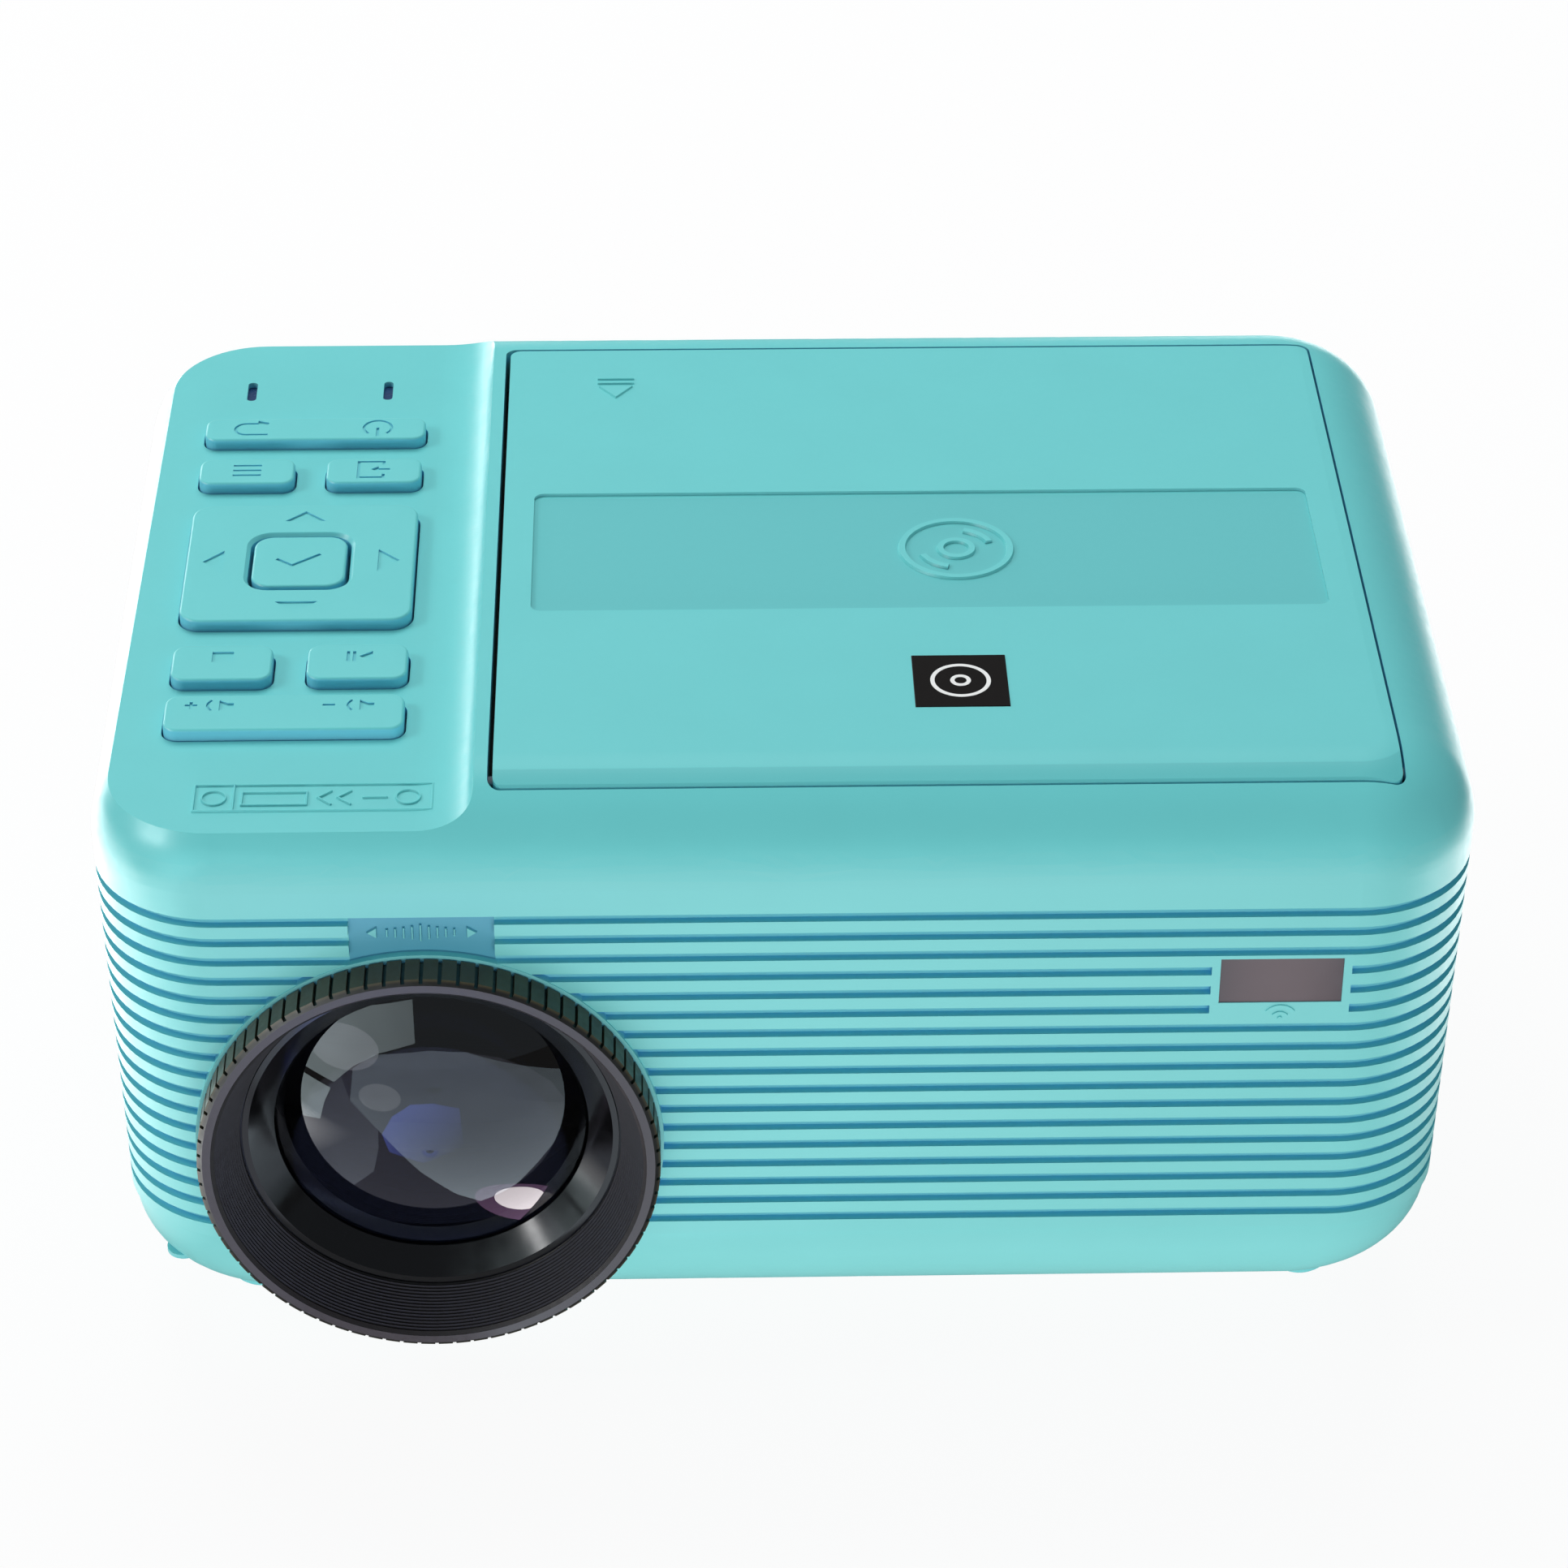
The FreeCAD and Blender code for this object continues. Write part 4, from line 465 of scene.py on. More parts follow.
def make_shell():
    """Turquoise shell; the sunk field above the focus ring is a shade darker."""
    r, plain = turquoise("shell_turquoise")
    x, y, z = r.axes()
    left, right, low, high = (limit * MM for limit in FOCUS_PAD)
    face = (FRONT_Y + DRAFT * LID_Z + GROOVE_DEPTH) * MM
    behind = r.math("ADD", y, r.math("MULTIPLY", z, DRAFT))
    dark = r.remap(behind, face - 0.5 * MM, face - 0.2 * MM)
    for value, comparison, limit in (
        (x, "GREATER_THAN", left), (x, "LESS_THAN", right),
        (z, "GREATER_THAN", low), (z, "LESS_THAN", high),
        (y, "LESS_THAN", FRONT_SHELL_Y * MM),
    ):
        dark = r.math("MULTIPLY", dark, r.math(comparison, value, limit))
    return r.colour(r.blend(dark, plain, linear(FOCUS_FIELD))).material


def make_lid():
    """The lid's plastic; the floor of the sunk strip is a shade deeper."""
    r, plain = turquoise("lid_turquoise")
    z = r.axes()[2]
    strip = r.remap(z, (STRIP_Z + 0.08) * MM, (STRIP_Z + 0.02) * MM)
    return r.colour(r.blend(strip, plain, linear(STRIP_FLOOR))).material


def make_key():
    """Key caps: the same plastic, with painted shade that makes their sides deeper and bluer."""
    r, plain = turquoise("key_turquoise")
    upright = r.remap(r.facing_up(), 0.15, 0.75)
    return r.colour(r.blend(upright, linear(KEY_SIDE_SHADE), plain)).material


def make_ring():
    """Focus ring: satin black with an olive cast on the fluted band and a worn grey rim."""
    r = Recipe("focus_ring_black")
    radius = r.lens_radius()
    y = r.axes()[1]
    wear = r.noise(1.2, 3.0)
    on_band = r.remap(radius, (RIM_R + 0.05) * MM, (RIM_R + 0.15) * MM)
    on_rim = r.remap(y, (RING_FRONT + 0.03) * MM, (RING_FRONT - 0.01) * MM)
    flutes = r.remap(radius, FLUTE_R[0] * MM, FLUTE_R[1] * MM)
    band_colour = r.blend(flutes, scaled(RING_BAND, 0.12), linear(RING_BAND))
    rim_colour = r.blend(wear, scaled(RING_RIM, 0.85), scaled(RING_RIM, 1.15))
    plain = r.blend(on_band, linear("101010"), band_colour)
    r.colour(r.blend(on_rim, plain, rim_colour))
    r.roughness(r.remap(wear, 0.3, 0.7, 0.34, 0.48))
    r.relief(r.bump(r.noise(0.25, 1.0), 0.012, 0.6))
    return r.material


def make_plain_plastic(name, code, rough, gloss=0.5, grain_depth=0.01):
    """Moulded plastic: faint clouding, a fine spark-eroded grain and uneven gloss."""
    r = Recipe(name)
    r.colour(r.blend(r.noise(14.0, 4.0), scaled(code, 0.9), scaled(code, 1.1)))
    r.roughness(r.remap(r.noise(1.2, 2.0), 0.3, 0.7, rough - 0.04, rough + 0.05))
    r.relief(r.bump(r.noise(0.3, 1.0), grain_depth, 0.6))
    r.set(Specular_IOR_Level=gloss)
    return r.material


def make_gloss_black():
    """Polished black plastic with uneven gloss; the barrel's front rim is greyer."""
    r = Recipe("gloss_black")
    rim = r.remap(r.lens_radius(), (BARREL_RIM_R - 0.02) * MM, (BARREL_RIM_R + 0.04) * MM)
    r.colour(r.blend(rim, (0.003, 0.003, 0.0035), (0.02, 0.02, 0.021)))
    r.roughness(r.remap(r.noise(3.0, 4.0), 0.3, 0.7, 0.10, 0.16))
    r.set(Specular_IOR_Level=0.32)
    return r.material


def make_glass(name, tint, film, index, gloss):
    """Optical glass with a coating film nanometres thick; 0 leaves the coating out."""
    r = Recipe(name)
    haze = r.noise(8.0, 3.0)
    r.colour(r.blend(haze, scaled(tint, 0.97), linear(tint)))
    r.set(Transmission_Weight=1.0, IOR=index, Specular_IOR_Level=gloss)
    r.set(Thin_Film_Thickness=film, Thin_Film_IOR=1.38)
    r.roughness(r.remap(haze, 0.3, 0.7, 0.0, 0.01))
    return r.material


def make_metal(name, code, rough, stretch=(1.0, 1.0, 1.0)):
    """Metal with a fine grain, drawn out into streaks along an axis whose stretch is below 1."""
    r = Recipe(name)
    mapping = r.add("ShaderNodeMapping")
    mapping.inputs["Scale"].default_value = stretch
    r.link(r.place, mapping.inputs["Vector"])
    r.place = mapping.outputs["Vector"]
    streaks = r.noise(0.5, 3.0)
    r.colour(r.blend(streaks, scaled(code, 0.9), scaled(code, 1.05)))
    r.set(Metallic=1.0)
    r.roughness(r.remap(streaks, 0.3, 0.7, rough - 0.05, rough + 0.08))
    r.relief(r.bump(streaks, 0.006, 0.4))
    return r.material


def make_board():
    """Green circuit board with faint copper tracks under the lacquer."""
    r = Recipe("board_lacquer")
    cells = r.add("ShaderNodeTexVoronoi", feature="DISTANCE_TO_EDGE", distance="CHEBYCHEV")
    r.link(r.place, cells.inputs["Vector"])
    cells.inputs["Scale"].default_value = 260
    tracks = r.remap(cells.outputs["Distance"], 0.03, 0.06)
    r.colour(r.blend(tracks, linear("2E7A4C"), linear("124A2A")))
    r.relief(r.bump(tracks, 0.03, 0.5))
    r.set(Roughness=0.35)
    return r.material


def make_window():
    """Smoked infrared window: brown-grey, glossy, darker towards its edges."""
    r = Recipe("smoked_window")
    x = r.axes()[0]
    across = r.remap(x, WINDOW_X[0] * MM, WINDOW_X[1] * MM, -1.0, 1.0)
    fall = r.math("MULTIPLY", across, across)
    r.colour(r.blend(r.remap(fall, 0.0, 1.3), linear("655659"), linear("4F4448")))
    r.roughness(r.remap(r.noise(2.0, 2.0), 0.3, 0.7, 0.12, 0.2))
    r.set(Coat_Weight=0.3)
    return r.material


def make_ink(name, code):
    """Printed ink, with a trace of unevenness."""
    r = Recipe(name)
    r.colour(r.blend(r.noise(0.4, 3.0), scaled(code, 0.92), linear(code)))
    r.relief(r.bump(r.noise(0.2, 1.0), 0.004, 0.5))
    r.set(Roughness=0.5, Specular_IOR_Level=0.15)
    return r.material


shell = make_shell()
lid = make_lid()
key = make_key()
FINISHES = {
    "shell_plastic": shell,
    "lid_plastic": lid,
    "key_plastic": key,
    "foot_rubber": make_plain_plastic("foot_turquoise", "6FC4C6", 0.6, 0.3, 0.03),
    "deck_plastic": make_plain_plastic("deck_black", "17181A", 0.5, 0.5, 0.03),
    "hub_plastic": make_plain_plastic("hub_black", "1C1C1E", 0.3),
    "black_plastic": make_plain_plastic("plain_black", "18181A", 0.5),
    "barrel_plastic": make_plain_plastic("barrel_black", "0C0C0E", 0.5, 0.3, 0.004),
    "ring_plastic": make_ring(),
    "gloss_black": make_gloss_black(),
    "coated_lens": make_glass("coated_glass", "4C5478", 0.0, 1.6, 1.0),
    "clear_lens": make_glass("clear_glass", "B8BEDA", 240.0, 1.52, 0.2),
    "lcd_glass": make_plain_plastic("picture_panel", "101114", 0.15, 0.6, 0.0),
    "pipe_plastic": make_plain_plastic("smoked_light_pipe", "22406A", 0.25, 0.6, 0.0),
    "ir_plastic": make_window(),
    "screw_steel": make_metal("zinc_plate", "A8A9AD", 0.35),
    "spring_steel": make_metal("spring_steel", "B4B5B8", 0.3, (1, 0.1, 1)),
    "motor_steel": make_metal("bright_steel", "BFC0C2", 0.28, (0.1, 1, 1)),
    "chassis_sheet": make_metal("zinc_sheet", "A6A9AC", 0.4),
    "socket_metal": make_metal("nickel_sheet", "B9BABD", 0.3, (1, 0.1, 1)),
    "sled_casting": make_metal("cast_sled", "8E9094", 0.5),
    "sink_aluminium": make_metal("extruded_aluminium", "C6C8CC", 0.38, (1, 1, 0.1)),
    "insert_brass": make_metal("turned_brass", "B08D45", 0.3, (1, 1, 4)),
    "grommet_rubber": make_plain_plastic("soft_rubber", "161616", 0.8, 0.2, 0.03),
    "board_green": make_board(),
    "speaker_paper": make_plain_plastic("speaker_cone", "1E1E20", 0.85, 0.2, 0.05),
}

for entry in frame["record"]["subparts"]:
    carried = frame["nodes"][entry["node"]]
    carried.data.materials.clear()
    carried.data.materials.append(FINISHES[entry["material_slot"]])

# ---- Engraved keys -------------------------------------------------------------------------------
STROKE = 0.45


def stroke(points, width=STROKE):
    return band(points, width)


def cross(cx, cy, reach):
    """A plus sign as one outline."""
    h = STROKE / 2
    corners = [(reach, h), (h, h), (h, reach), (-h, reach), (-h, h), (-reach, h),
               (-reach, -h), (-h, -h), (-h, -reach), (h, -reach), (h, -h), (reach, -h)]
    return [(cx + x, cy + y) for x, y in corners]


def loudspeaker(cx, cy):
    """A small loudspeaker sign, read from the back of the projector."""
    body = [(cx + 1.8, cy + 0.55), (cx + 0.9, cy + 0.55), (cx - 0.3, cy + 1.35),
            (cx - 0.3, cy - 1.35), (cx + 0.9, cy - 0.55), (cx + 1.8, cy - 0.55)]
    return [body, stroke(arc(cx - 0.3, cy, 1.7, 130, 230, 10), 0.4)]


POWER_SIGNS = [
    stroke([(-79.7, 43.4)] + arc(-83.2, 41.7, 1.7, 90, 270, 12) + [(-79.7, 40.0)]),
    [(-81.4, 44.35), (-79.5, 43.62), (-81.4, 43.62)],
    stroke(arc(-62.35, 41.85, 2.2, -50, 230, 28)),
    stroke([(-62.35, 41.9), (-62.35, 39.3)]),
]
MENU_SIGNS = [stroke([(-84.4, v), (-80.0, v)]) for v in (30.4, 28.95, 27.5)]
SOURCE_SIGNS = [
    stroke([(-60.9, 30.4), (-60.9, 31.3), (-64.8, 31.3), (-64.8, 26.6), (-60.9, 26.6), (-60.9, 27.6)]),
    stroke([(-59.9, 29.05), (-61.9, 29.05)]),
    [(-62.9, 29.05), (-61.7, 28.25), (-61.7, 29.85)],
]
PAD_SIGNS = [
    [(-75.4, 13.6), (-69.1, 13.6), (-72.25, 16.5)],
    [(-87.2, 2.0), (-84.1, -1.2), (-84.1, 5.1)],
    [(-60.6, -1.0), (-57.3, 2.0), (-60.6, 5.2)],
    [(-75.6, -9.5), (-72.4, -12.5), (-69.1, -9.5)],
]
CONFIRM_SIGNS = [stroke([(-76.0, 2.6), (-73.6, 0.7), (-69.4, 3.9)][::-1], 0.6)]
STOP_SIGNS = [rectangle(-83.85, -80.7, -26.0, -23.3)]
PLAY_SIGNS = [
    stroke([(-63.8, -23.4), (-63.8, -26.1)]),
    stroke([(-62.9, -23.4), (-62.9, -26.1)]),
    [(-62.2, -24.75), (-60.2, -26.1), (-60.2, -23.4)],
]
VOLUME_SIGNS = (
    [cross(-86.0, -37.55, 0.9), stroke([(-66.9, -37.7), (-65.1, -37.7)])]
    + loudspeaker(-81.6, -37.6) + loudspeaker(-61.2, -37.8)
)
for key_name, signs in (
    ("power_key", POWER_SIGNS), ("menu_key", MENU_SIGNS), ("source_key", SOURCE_SIGNS),
    ("dpad_plate", PAD_SIGNS), ("ok_key", CONFIRM_SIGNS), ("stop_key", STOP_SIGNS),
    ("play_key", PLAY_SIGNS), ("volume_key", VOLUME_SIGNS),
):
    engraved(key_name, key, signs)

# ---- Base screws ---------------------------------------------------------------------------------
SCREW_SEAT = 13.6         # the heads bear on this level
SCREW_HEAD = 0.4          # how much of the plain head's height the flat head keeps
SCREW_PLACES = [(-90.5, -59.0), (-90.5, 56.0), (90.5, 56.0), (90.5, -56.0)]


def flatten_head(vert):
    """All four heads show flatter than the solids', whose front two stand out of the corners."""
    seat = SCREW_SEAT * MM
    if vert.co.z < seat:
        vert.co.z = seat - (seat - vert.co.z) * SCREW_HEAD


def at_level(u, v, w):
    return Vector((u, v, w)) * MM


screw_cutters = [prism(cross(x, y, 1.5), at_level, SCREW_SEAT - 1.2, SCREW_SEAT - 0.3)
                 for x, y in SCREW_PLACES]
screw_paint = make_plain_plastic("screw_paint", "6FC4C6", 0.45)
stand_in("base_screws", "flat_base_screws", screw_paint, screw_cutters,
         Vector((0, 0, 1)), flatten_head)

# ---- Raised signs on the shells ------------------------------------------------------------------
raised_marks(
    "panel_signs", on_panel, "chassis", shell, width=0.42, height=0.3,
    ridges=[
        (rectangle(-84.1, -50.3, -62.1, -55.7), True),
        ([(-78.5, -62.1), (-78.5, -55.7)], False),
        (circle(-81.3, -58.9, 1.7), True),
        (rectangle(-77.3, -68.1, -60.7, -57.6), True),
        ([(-64.6, -57.3), (-66.5, -59.0), (-64.6, -60.7)], False),
        ([(-61.8, -57.3), (-63.7, -59.0), (-61.8, -60.7)], False),
        ([(-60.2, -59.0), (-56.6, -59.0)], False),
        (circle(-53.7, -58.95, 1.7), True),
    ])
raised_marks(
    "lid_release_sign", on_lid, "lid", lid, width=0.6, height=0.3,
    ridges=[([(-27.5, 52.3), (-21.7, 52.3)], False), ([(-27.5, 50.9), (-21.7, 50.9)], False)],
    plates=[[(-27.4, 49.8), (-24.6, 46.0), (-21.8, 49.8)]])
DISC_SIGN = (27.2, -0.5)
raised_marks(
    "disc_sign", on_strip, "lid", lid, width=1.3, height=0.42,
    ridges=[
        (circle(*DISC_SIGN, 8.2, 64), True), (circle(*DISC_SIGN, 2.4, 32), True),
        (arc(*DISC_SIGN, 5.4, 20, 75), False), (arc(*DISC_SIGN, 5.4, 200, 255), False),
    ])
TICK_Z = 78.1
TICK_REACH = (0.6, 0.75, 0.9, 1.1, 1.4, 1.1, 0.9, 0.75, 0.6)
raised_marks(
    "focus_signs", on_focus_pad, "chassis", shell, width=0.42, height=0.45,
    ridges=[([(-57.0 + 1.2 * i, TICK_Z - reach), (-57.0 + 1.2 * i, TICK_Z + reach)], False)
            for i, reach in enumerate(TICK_REACH)],
    plates=[
        [(-60.0, 78.15), (-58.4, 77.1), (-58.4, 79.2)],
        [(-44.1, 78.05), (-45.7, 79.1), (-45.7, 77.0)],
    ])
raised_marks(
    "remote_signs", on_front, "chassis", shell, width=0.34, height=0.2,
    ridges=[(arc(71.2, 61.7, 1.3, 35, 145, 10), False), (arc(71.2, 61.7, 2.5, 35, 145, 12), False)],
    plates=[circle(71.2, 61.9, 0.42, 12)])

# ---- Badge with a ring motif on the lid ----------------------------------------------------------
BADGE = (18.9, 32.75, -45.1, -31.2)
BADGE_CENTRE = ((BADGE[0] + BADGE[1]) / 2, (BADGE[2] + BADGE[3]) / 2)
raised_marks("badge_field", on_lid, "lid", make_ink("badge_black", INK_BLACK),
             plates=[rectangle(*BADGE)], height=0.12)
raised_marks("badge_motif", on_lid, "lid", make_ink("badge_white", INK_WHITE),
             ridges=[(circle(*BADGE_CENTRE, 4.1, 56), True), (circle(*BADGE_CENTRE, 1.2, 32), True)],
             width=0.75, height=0.16)

# ---- Stepped cone inside the focus ring ----------------------------------------------------------
STEPS = 15
cone = [(CONE_R[0] - 0.02, RING_FRONT + 0.05)]
for step in range(STEPS):
    front = RING_FRONT + 0.5 + (CONE_DEPTH - 0.6) * step / STEPS
    back = RING_FRONT + 0.5 + (CONE_DEPTH - 0.6) * (step + 1) / STEPS
    narrowing = (CONE_R[0] - CONE_R[1]) * (back - RING_FRONT) / CONE_DEPTH
    radius = CONE_R[0] - narrowing - 0.05
    cone += [(radius, front), (radius, back - 0.3), (radius + 0.12, back - 0.15)]
outer = [(CONE_R[1] + 0.5, RING_FRONT + CONE_DEPTH - 0.1), (CONE_R[0] + 0.5, RING_FRONT + 0.15)]
lathe("cone_steps", cone + outer, "focus_ring",
      make_plain_plastic("cone_black", "1C1816", 0.5, 0.25))

# ---- Camera --------------------------------------------------------------------------------------
CAMERA_PLACE = Vector((-16.38, -636.02, 483.77))
CAMERA_DOWN = 0.5912      # radians below the horizon
CAMERA_YAW = 0.0278
CAMERA_ROLL = 0.0058
CAMERA_LENS = 112.34
CAMERA_SENSOR = 36.0


def make_camera():
    data = bpy.data.cameras.new("camera")
    data.lens = CAMERA_LENS
    data.sensor_width = CAMERA_SENSOR
    data.clip_start = 0.01
    data.clip_end = 20.0
    camera = link_object("camera", data)
    ahead = math.cos(CAMERA_DOWN)
    forward = Vector((math.sin(CAMERA_YAW) * ahead, math.cos(CAMERA_YAW) * ahead, -math.sin(CAMERA_DOWN)))
    level = Vector((math.cos(CAMERA_YAW), -math.sin(CAMERA_YAW), 0))
    upright = level.cross(forward)
    right = level * math.cos(CAMERA_ROLL) + upright * math.sin(CAMERA_ROLL)
    up = upright * math.cos(CAMERA_ROLL) - level * math.sin(CAMERA_ROLL)
    turn = Matrix((right, up, -forward)).transposed()
    camera.matrix_world = Matrix.Translation(CAMERA_PLACE * MM) @ turn.to_4x4()
    bpy.context.scene.camera = camera


make_camera()

# ---- Floor, world and lamps ----------------------------------------------------------------------
FLOOR_HALF = 6.0
FLOOR_LEVEL = -0.0002     # just under the feet
FLOOR_WHITE = 0.93        # how far the floor's own white covers its shading
FLOOR_BOUNCE = 1.15       # the light it throws back up
FLOOR_SHEEN = 0.12        # the floor as the object's front mirrors it
SHEEN_LEFT = 6.2          # and how much brighter the floor is there, on either side
SHEEN_RIGHT = 3.6
OUTER_BOUNCE = 0.4        # share of the bounce that is left beside the object
SKY_COLOUR = (0.82, 0.91, 1.0, 1.0)
SKY_STRENGTH = 0.26
MIDDLE = Vector((0.0, 0.0, 0.05))         # the softboxes face this point


def polygon_mesh(name, corners):
    bm = bmesh.new()
    bm.faces.new([bm.verts.new(corner) for corner in corners])
    return to_mesh(bm, name)


def make_floor():
    """A white floor: white to the camera, brighter to both sides in the object's own sheen."""
    square = rectangle(-FLOOR_HALF, FLOOR_HALF, -FLOOR_HALF, FLOOR_HALF)
    floor = link_object("floor", polygon_mesh("floor", [(x, y, FLOOR_LEVEL) for x, y in square]))
    r = Recipe("floor_white")
    r.set(Base_Color=(0.8, 0.8, 0.8, 1.0), Roughness=0.9, Specular_IOR_Level=0.0)
    x, y, _ = r.axes()
    left = r.math("MULTIPLY", r.remap(x, -0.10, -0.16, 0.0, SHEEN_LEFT), r.remap(x, -0.6, -0.4))
    right = r.math("MULTIPLY", r.remap(x, 0.12, 0.17, 0.0, SHEEN_RIGHT), r.remap(x, 0.34, 0.24))
    beside = r.math("MULTIPLY", r.math("ADD", left, right), r.remap(y, -0.13, -0.10))
    sheen = r.math("ADD", beside, FLOOR_SHEEN)
    path = r.add("ShaderNodeLightPath")
    camera = r.math("MAXIMUM", path.outputs["Is Camera Ray"], path.outputs["Is Transmission Ray"])
    glossy = r.math("MULTIPLY", path.outputs["Is Glossy Ray"], r.math("SUBTRACT", 1.0, camera))
    glow = r.add("ShaderNodeEmission")
    bounce = path.outputs["Is Diffuse Ray"]
    aside = r.math("ABSOLUTE", x)
    outwards = r.remap(aside, 0.09, 0.26, FLOOR_BOUNCE, FLOOR_BOUNCE * OUTER_BOUNCE)
    strength = r.math("ADD", camera, r.math("MULTIPLY", glossy, sheen))
    r.link(r.math("ADD", strength, r.math("MULTIPLY", bounce, outwards)), glow.inputs["Strength"])
    mix = r.add("ShaderNodeMixShader")
    covered = r.math("ADD", glossy, r.math("MULTIPLY", camera, FLOOR_WHITE))
    r.link(r.math("ADD", covered, bounce), mix.inputs["Fac"])
    r.link(r.shader.outputs[0], mix.inputs[1])
    r.link(glow.outputs[0], mix.inputs[2])
    r.link(mix.outputs[0], r.tree.nodes["Material Output"].inputs["Surface"])
    floor.data.materials.append(r.material)


def make_world():
    """A faint bluish sky, white where the camera looks past the floor."""
    world = bpy.data.worlds.new("studio")
    bpy.context.scene.world = world
    world.use_nodes = True
    tree = world.node_tree
    sky = tree.nodes["Background"]
    sky.inputs["Color"].default_value = SKY_COLOUR
    sky.inputs["Strength"].default_value = SKY_STRENGTH
    white = tree.nodes.new("ShaderNodeBackground")
    white.inputs["Color"].default_value = (1.0, 1.0, 1.0, 1.0)
    mix = tree.nodes.new("ShaderNodeMixShader")
    path = tree.nodes.new("ShaderNodeLightPath")
    tree.links.new(path.outputs["Is Camera Ray"], mix.inputs[0])
    tree.links.new(sky.outputs[0], mix.inputs[1])
    tree.links.new(white.outputs[0], mix.inputs[2])
    tree.links.new(mix.outputs[0], tree.nodes["World Output"].inputs["Surface"])


def aimed_lamp(name, shape, size, watts, place, target):
    """An area lamp that faces its target."""
    data = bpy.data.lights.new(name, "AREA")
    data.shape = shape
    data.size, data.size_y = size
    data.energy = watts
    lamp = link_object(name, data)
    lamp.location = place
    lamp.rotation_mode = "QUATERNION"
    lamp.rotation_quaternion = (target - place).to_track_quat("-Z", "Y")
    lamp.visible_transmission = False
    return lamp


def area_lamp(name, place, size, watts, lights=True, mirrored_too=True):
    """A softbox that lights the object, shows in its gloss, or both."""
    lamp = aimed_lamp(name, "RECTANGLE", size, watts, Vector(place), MIDDLE)
    lamp.visible_diffuse = lights
    lamp.visible_glossy = mirrored_too


CARD_FLOOR = 1.0          # nothing that the glass mirrors hangs lower than this
CARD_STEPS = 6            # points along each side of a card's outline


def mirror_way(spot, normal):
    """Where the camera's view goes after a mirror at this spot."""
    sight = (spot - CAMERA_PLACE).normalized()
    return sight - 2 * sight.dot(normal) * normal


def off_glass(u, v, distance, floor=CARD_FLOOR):
    """The point the camera sees mirrored in the front glass at (u, v) from the lens axis."""
    depth = math.sqrt(GLASS_CURVE ** 2 - u * u - v * v)
    rim = math.sqrt(GLASS_CURVE ** 2 - GLASS_R ** 2)
    spot = Vector((LENS_X + u, GLASS_EDGE_Y - depth + rim, LENS_Z + v))
    way = mirror_way(spot, Vector((u, -depth, v)).normalized())
    if spot.z + way.z * distance < floor:
        distance = (floor - spot.z) / way.z
    return spot + way * distance, spot


def reflection_card(name, outline, distance, floor, colour, strength, fade=None):
    """A glowing card that only shows as a reflection, drawn by its image in the front glass.

    It glows evenly, or fades across it: fade holds the way it brightens (across and up) and the
    share of its glow that is left at the dim side."""
    fine = []
    for (u0, v0), (u1, v1) in zip(outline, outline[1:] + outline[:1]):
        for i in range(CARD_STEPS):
            fine.append((u0 + (u1 - u0) * i / CARD_STEPS, v0 + (v1 - v0) * i / CARD_STEPS))
    corners = [off_glass(u, v, distance, floor)[0] * MM for u, v in fine]
    card = link_object(name, polygon_mesh(name, corners))
    glow = card.data.attributes.new("glow", "FLOAT", "POINT")
    across, up, rest = fade or (0.0, 1.0, 1.0)
    heights = [u * across + v * up for u, v in fine]
    for value, height in zip(glow.data, heights):
        value.value = rest + (1 - rest) * (height - min(heights)) / (max(heights) - min(heights))
    r = Recipe(name)
    light = r.add("ShaderNodeEmission")
    patchy = r.blend(r.noise(60.0, 1.0), scaled(colour, 0.85), scaled(colour, 1.1))
    r.link(patchy, light.inputs["Color"])
    share = r.add("ShaderNodeAttribute", attribute_name="glow").outputs["Fac"]
    r.link(r.math("MULTIPLY", share, strength), light.inputs["Strength"])
    both = r.add("ShaderNodeAddShader")
    r.link(r.add("ShaderNodeBsdfTransparent").outputs[0], both.inputs[0])
    r.link(light.outputs[0], both.inputs[1])
    r.link(both.outputs[0], r.tree.nodes["Material Output"].inputs["Surface"])
    card.data.materials.append(r.material)
    card.visible_camera = False
    card.visible_diffuse = False
    card.visible_transmission = False
    card.visible_shadow = False


def catch_light(name, u, v, distance, size, roll, colour, watts):
    """A tiny oval lamp whose mirror image is the bright spot low in the glass."""
    place, spot = off_glass(u, v, distance)
    axes = tuple(length * MM for length in size)
    lamp = aimed_lamp(name, "ELLIPSE", axes, watts, place * MM, spot * MM)
    lamp.rotation_quaternion = lamp.rotation_quaternion @ Quaternion((0, 0, 1), math.radians(roll))
    lamp.data.color = linear(colour)
    lamp.visible_camera = False
    lamp.visible_diffuse = False


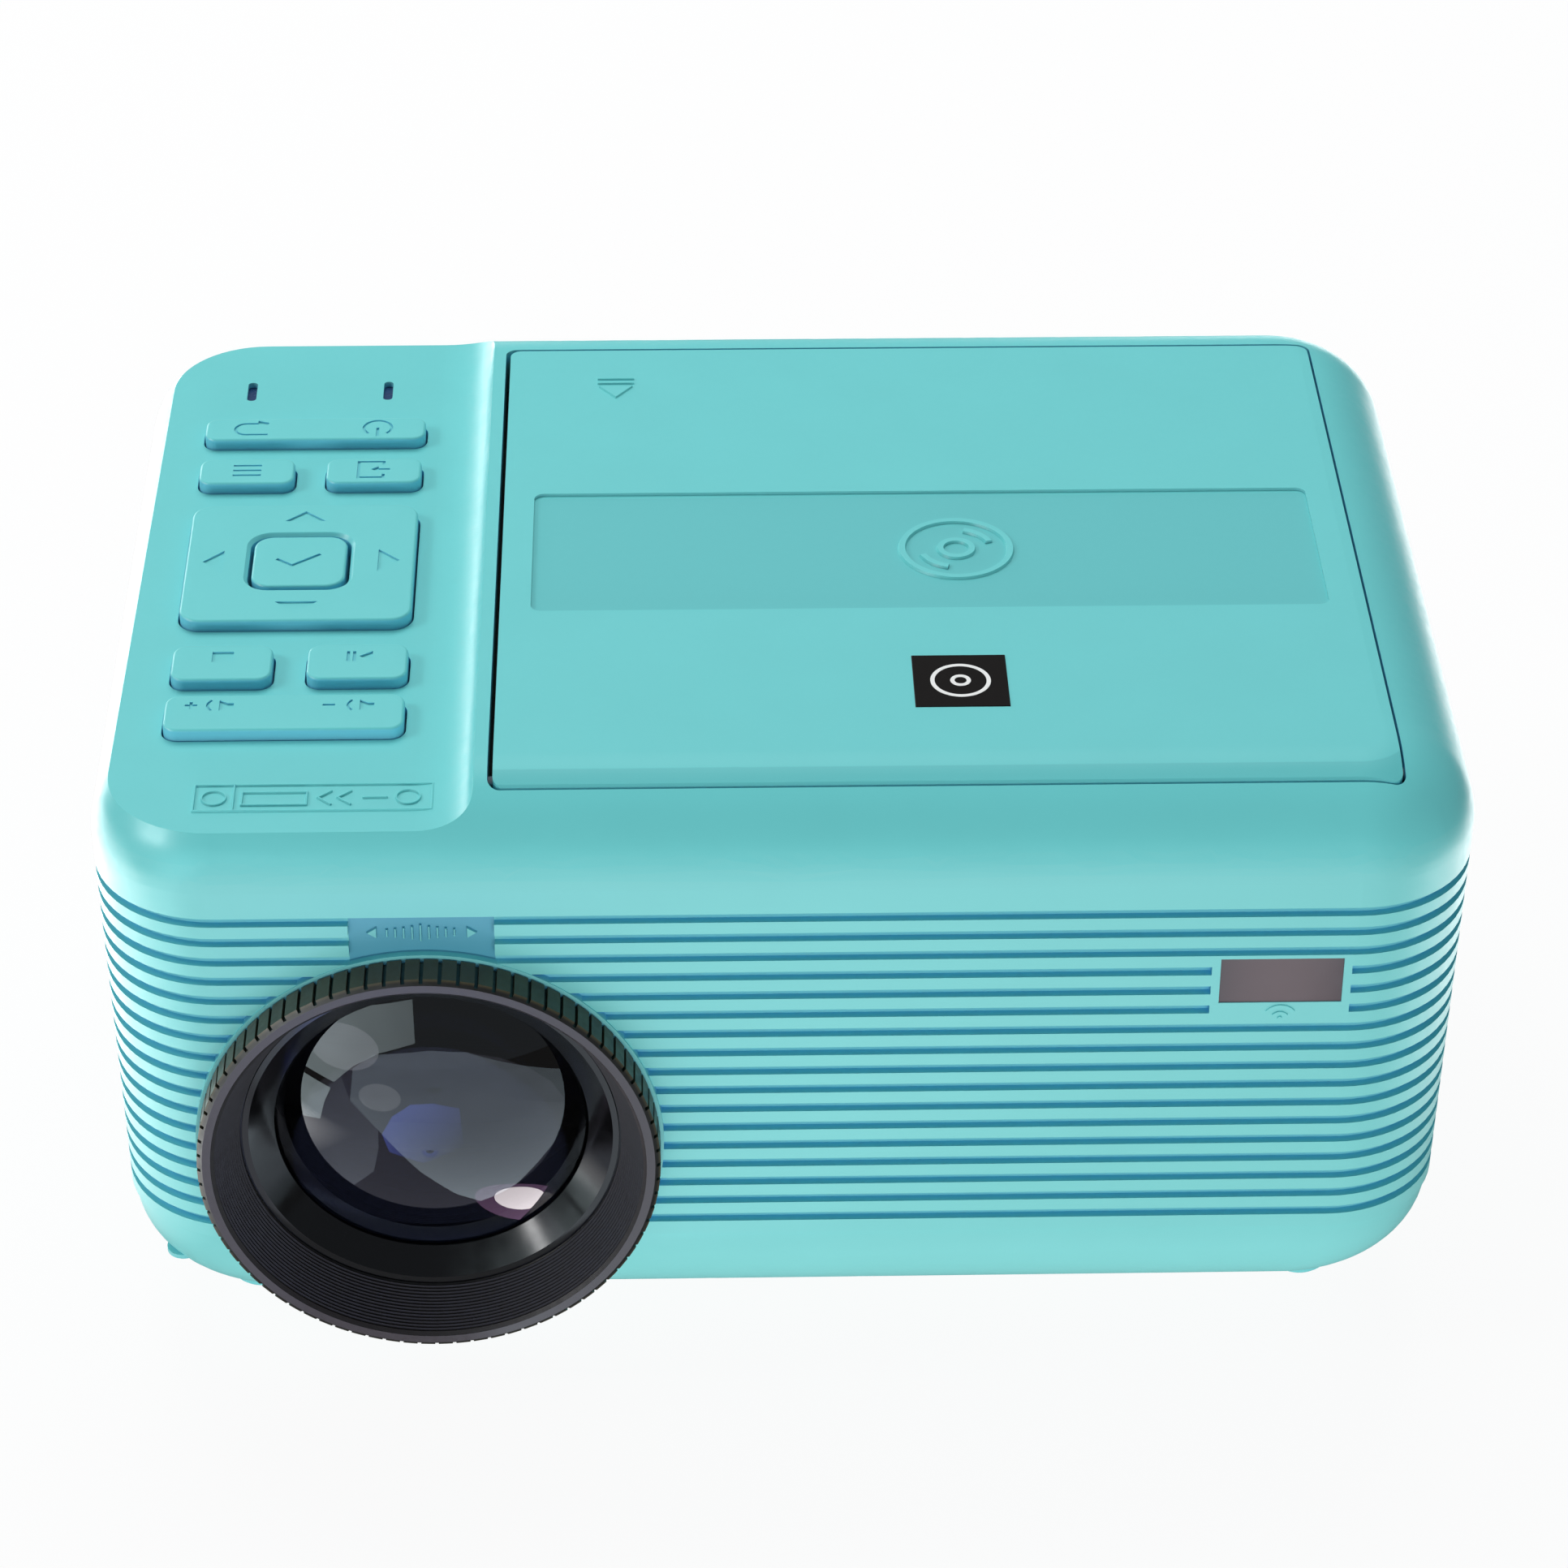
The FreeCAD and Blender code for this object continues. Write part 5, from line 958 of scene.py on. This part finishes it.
# Each card: name, outline on the glass, distance, lowest level, colour, strength and, if any, fade.
CARDS = [
    ("upper_pane", [(-2.0, 22.6), (-1.7, 16.9), (-7.1, 15.2), (-10.9, 12.9), (-13.8, 10.0),
                    (-19.7, 12.0), (-17.2, 15.4), (-13.4, 19.0), (-8.9, 21.3)],
     220.0, 1.0, "C6D8DC", 4.0, (-1.0, 0.0, 0.5)),
    ("lower_pane", [(-20.3, 11.1), (-14.3, 9.0), (-15.3, 6.7), (-16.1, 3.5), (-22.6, 2.9),
                    (-21.9, 7.4)],
     200.0, 1.3, "C6D8DC", 3.8),
    ("pale_oval", arc(-12.2, 15.4, 5.2, 0, 345, 23, 0.62), 210.0, 1.6, "D0D0DC", 1.5),
    ("broad_sheen", [(-10.9, 12.6), (-7.8, 15.0), (0.3, 15.9), (5.6, 15.4), (12.1, 12.8),
                     (20.9, 9.5), (21.2, 3.9), (19.5, -0.3), (15.7, -5.1), (11.6, -9.8),
                     (7.5, -11.7), (3.5, -9.2), (-1.7, -4.1), (-7.5, 3.2), (-11.5, 7.6)],
     500.0, 1.9, "BCD0DC", 1.9, (-0.3, -1.0, 0.65)),
    ("low_sheen", [(-11.5, 8.0), (5.0, 10.5), (19.8, 4.5), (19.5, -0.3), (15.7, -5.1),
                   (11.6, -9.8), (7.5, -11.7), (3.5, -9.2), (-1.7, -4.1), (-7.5, 3.2)],
     500.0, 2.2, "C4D0D4", 1.3, (-0.1, -1.0, 0.0)),
    ("side_sheen", [(-12.6, 11.0), (-17.5, 7.0), (-19.3, 1.7), (-18.0, -3.0), (-15.4, -5.5),
                    (-11.7, -8.4), (-8.5, -4.7), (-7.6, -0.1), (-7.5, 3.2), (-11.5, 7.6)],
     500.0, 2.5, "C0CCDC", 1.1, (0.8, -0.6, 0.35)),
    ("faint_haze", arc(0.5, 1.5, 20.0, 0, 345, 23, 0.72), 520.0, 3.4, "B8B8D0", 0.45),
    ("small_oval", arc(-7.1, 8.6, 3.1, 0, 345, 23, 0.7), 90.0, 2.8, "D8DCE0", 1.1),
    ("blue_arc", [(-7.0, 2.5), (-5.4, 5.7), (-2.6, 7.8), (0.7, 8.0), (4.5, 7.0), (5.0, 0.5),
                  (-1.0, -2.5), (-6.0, -0.6)],
     60.0, 3.1, "6078F0", 3.2, (-0.75, 0.65, 0.0)),
]
make_floor()
make_world()
area_lamp("left_softbox", (-1.2, -0.05, 0.85), (0.4, 0.4), 6.0)
area_lamp("left_glint", (-1.22, -0.71, 0.585), (0.65, 0.34), 11.0, lights=False)
area_lamp("rear_left_softbox", (-1.0, 1.5, 0.3), (0.9, 0.5), 8.0)
area_lamp("top_softbox", (-0.1, 1.0, 1.5), (1.2, 1.0), 22.5, mirrored_too=False)
area_lamp("top_glint", (-0.1, 1.0, 1.5), (1.2, 1.0), 7.0, lights=False)
area_lamp("front_softbox", (0.1, -1.9, 0.12), (1.6, 0.5), 22.0, mirrored_too=False)
for card in CARDS:
    reflection_card(*card)
catch_light("pink_glint", 12.4, -13.0, 5.6, (16.5, 7.6), 16.0, "C090C0", 0.00042)
catch_light("white_glint", 12.8, -12.5, 6.0, (9.4, 5.0), 16.0, "FFFAF8", 0.0007)

bpy.context.scene.view_settings.view_transform = "Standard"
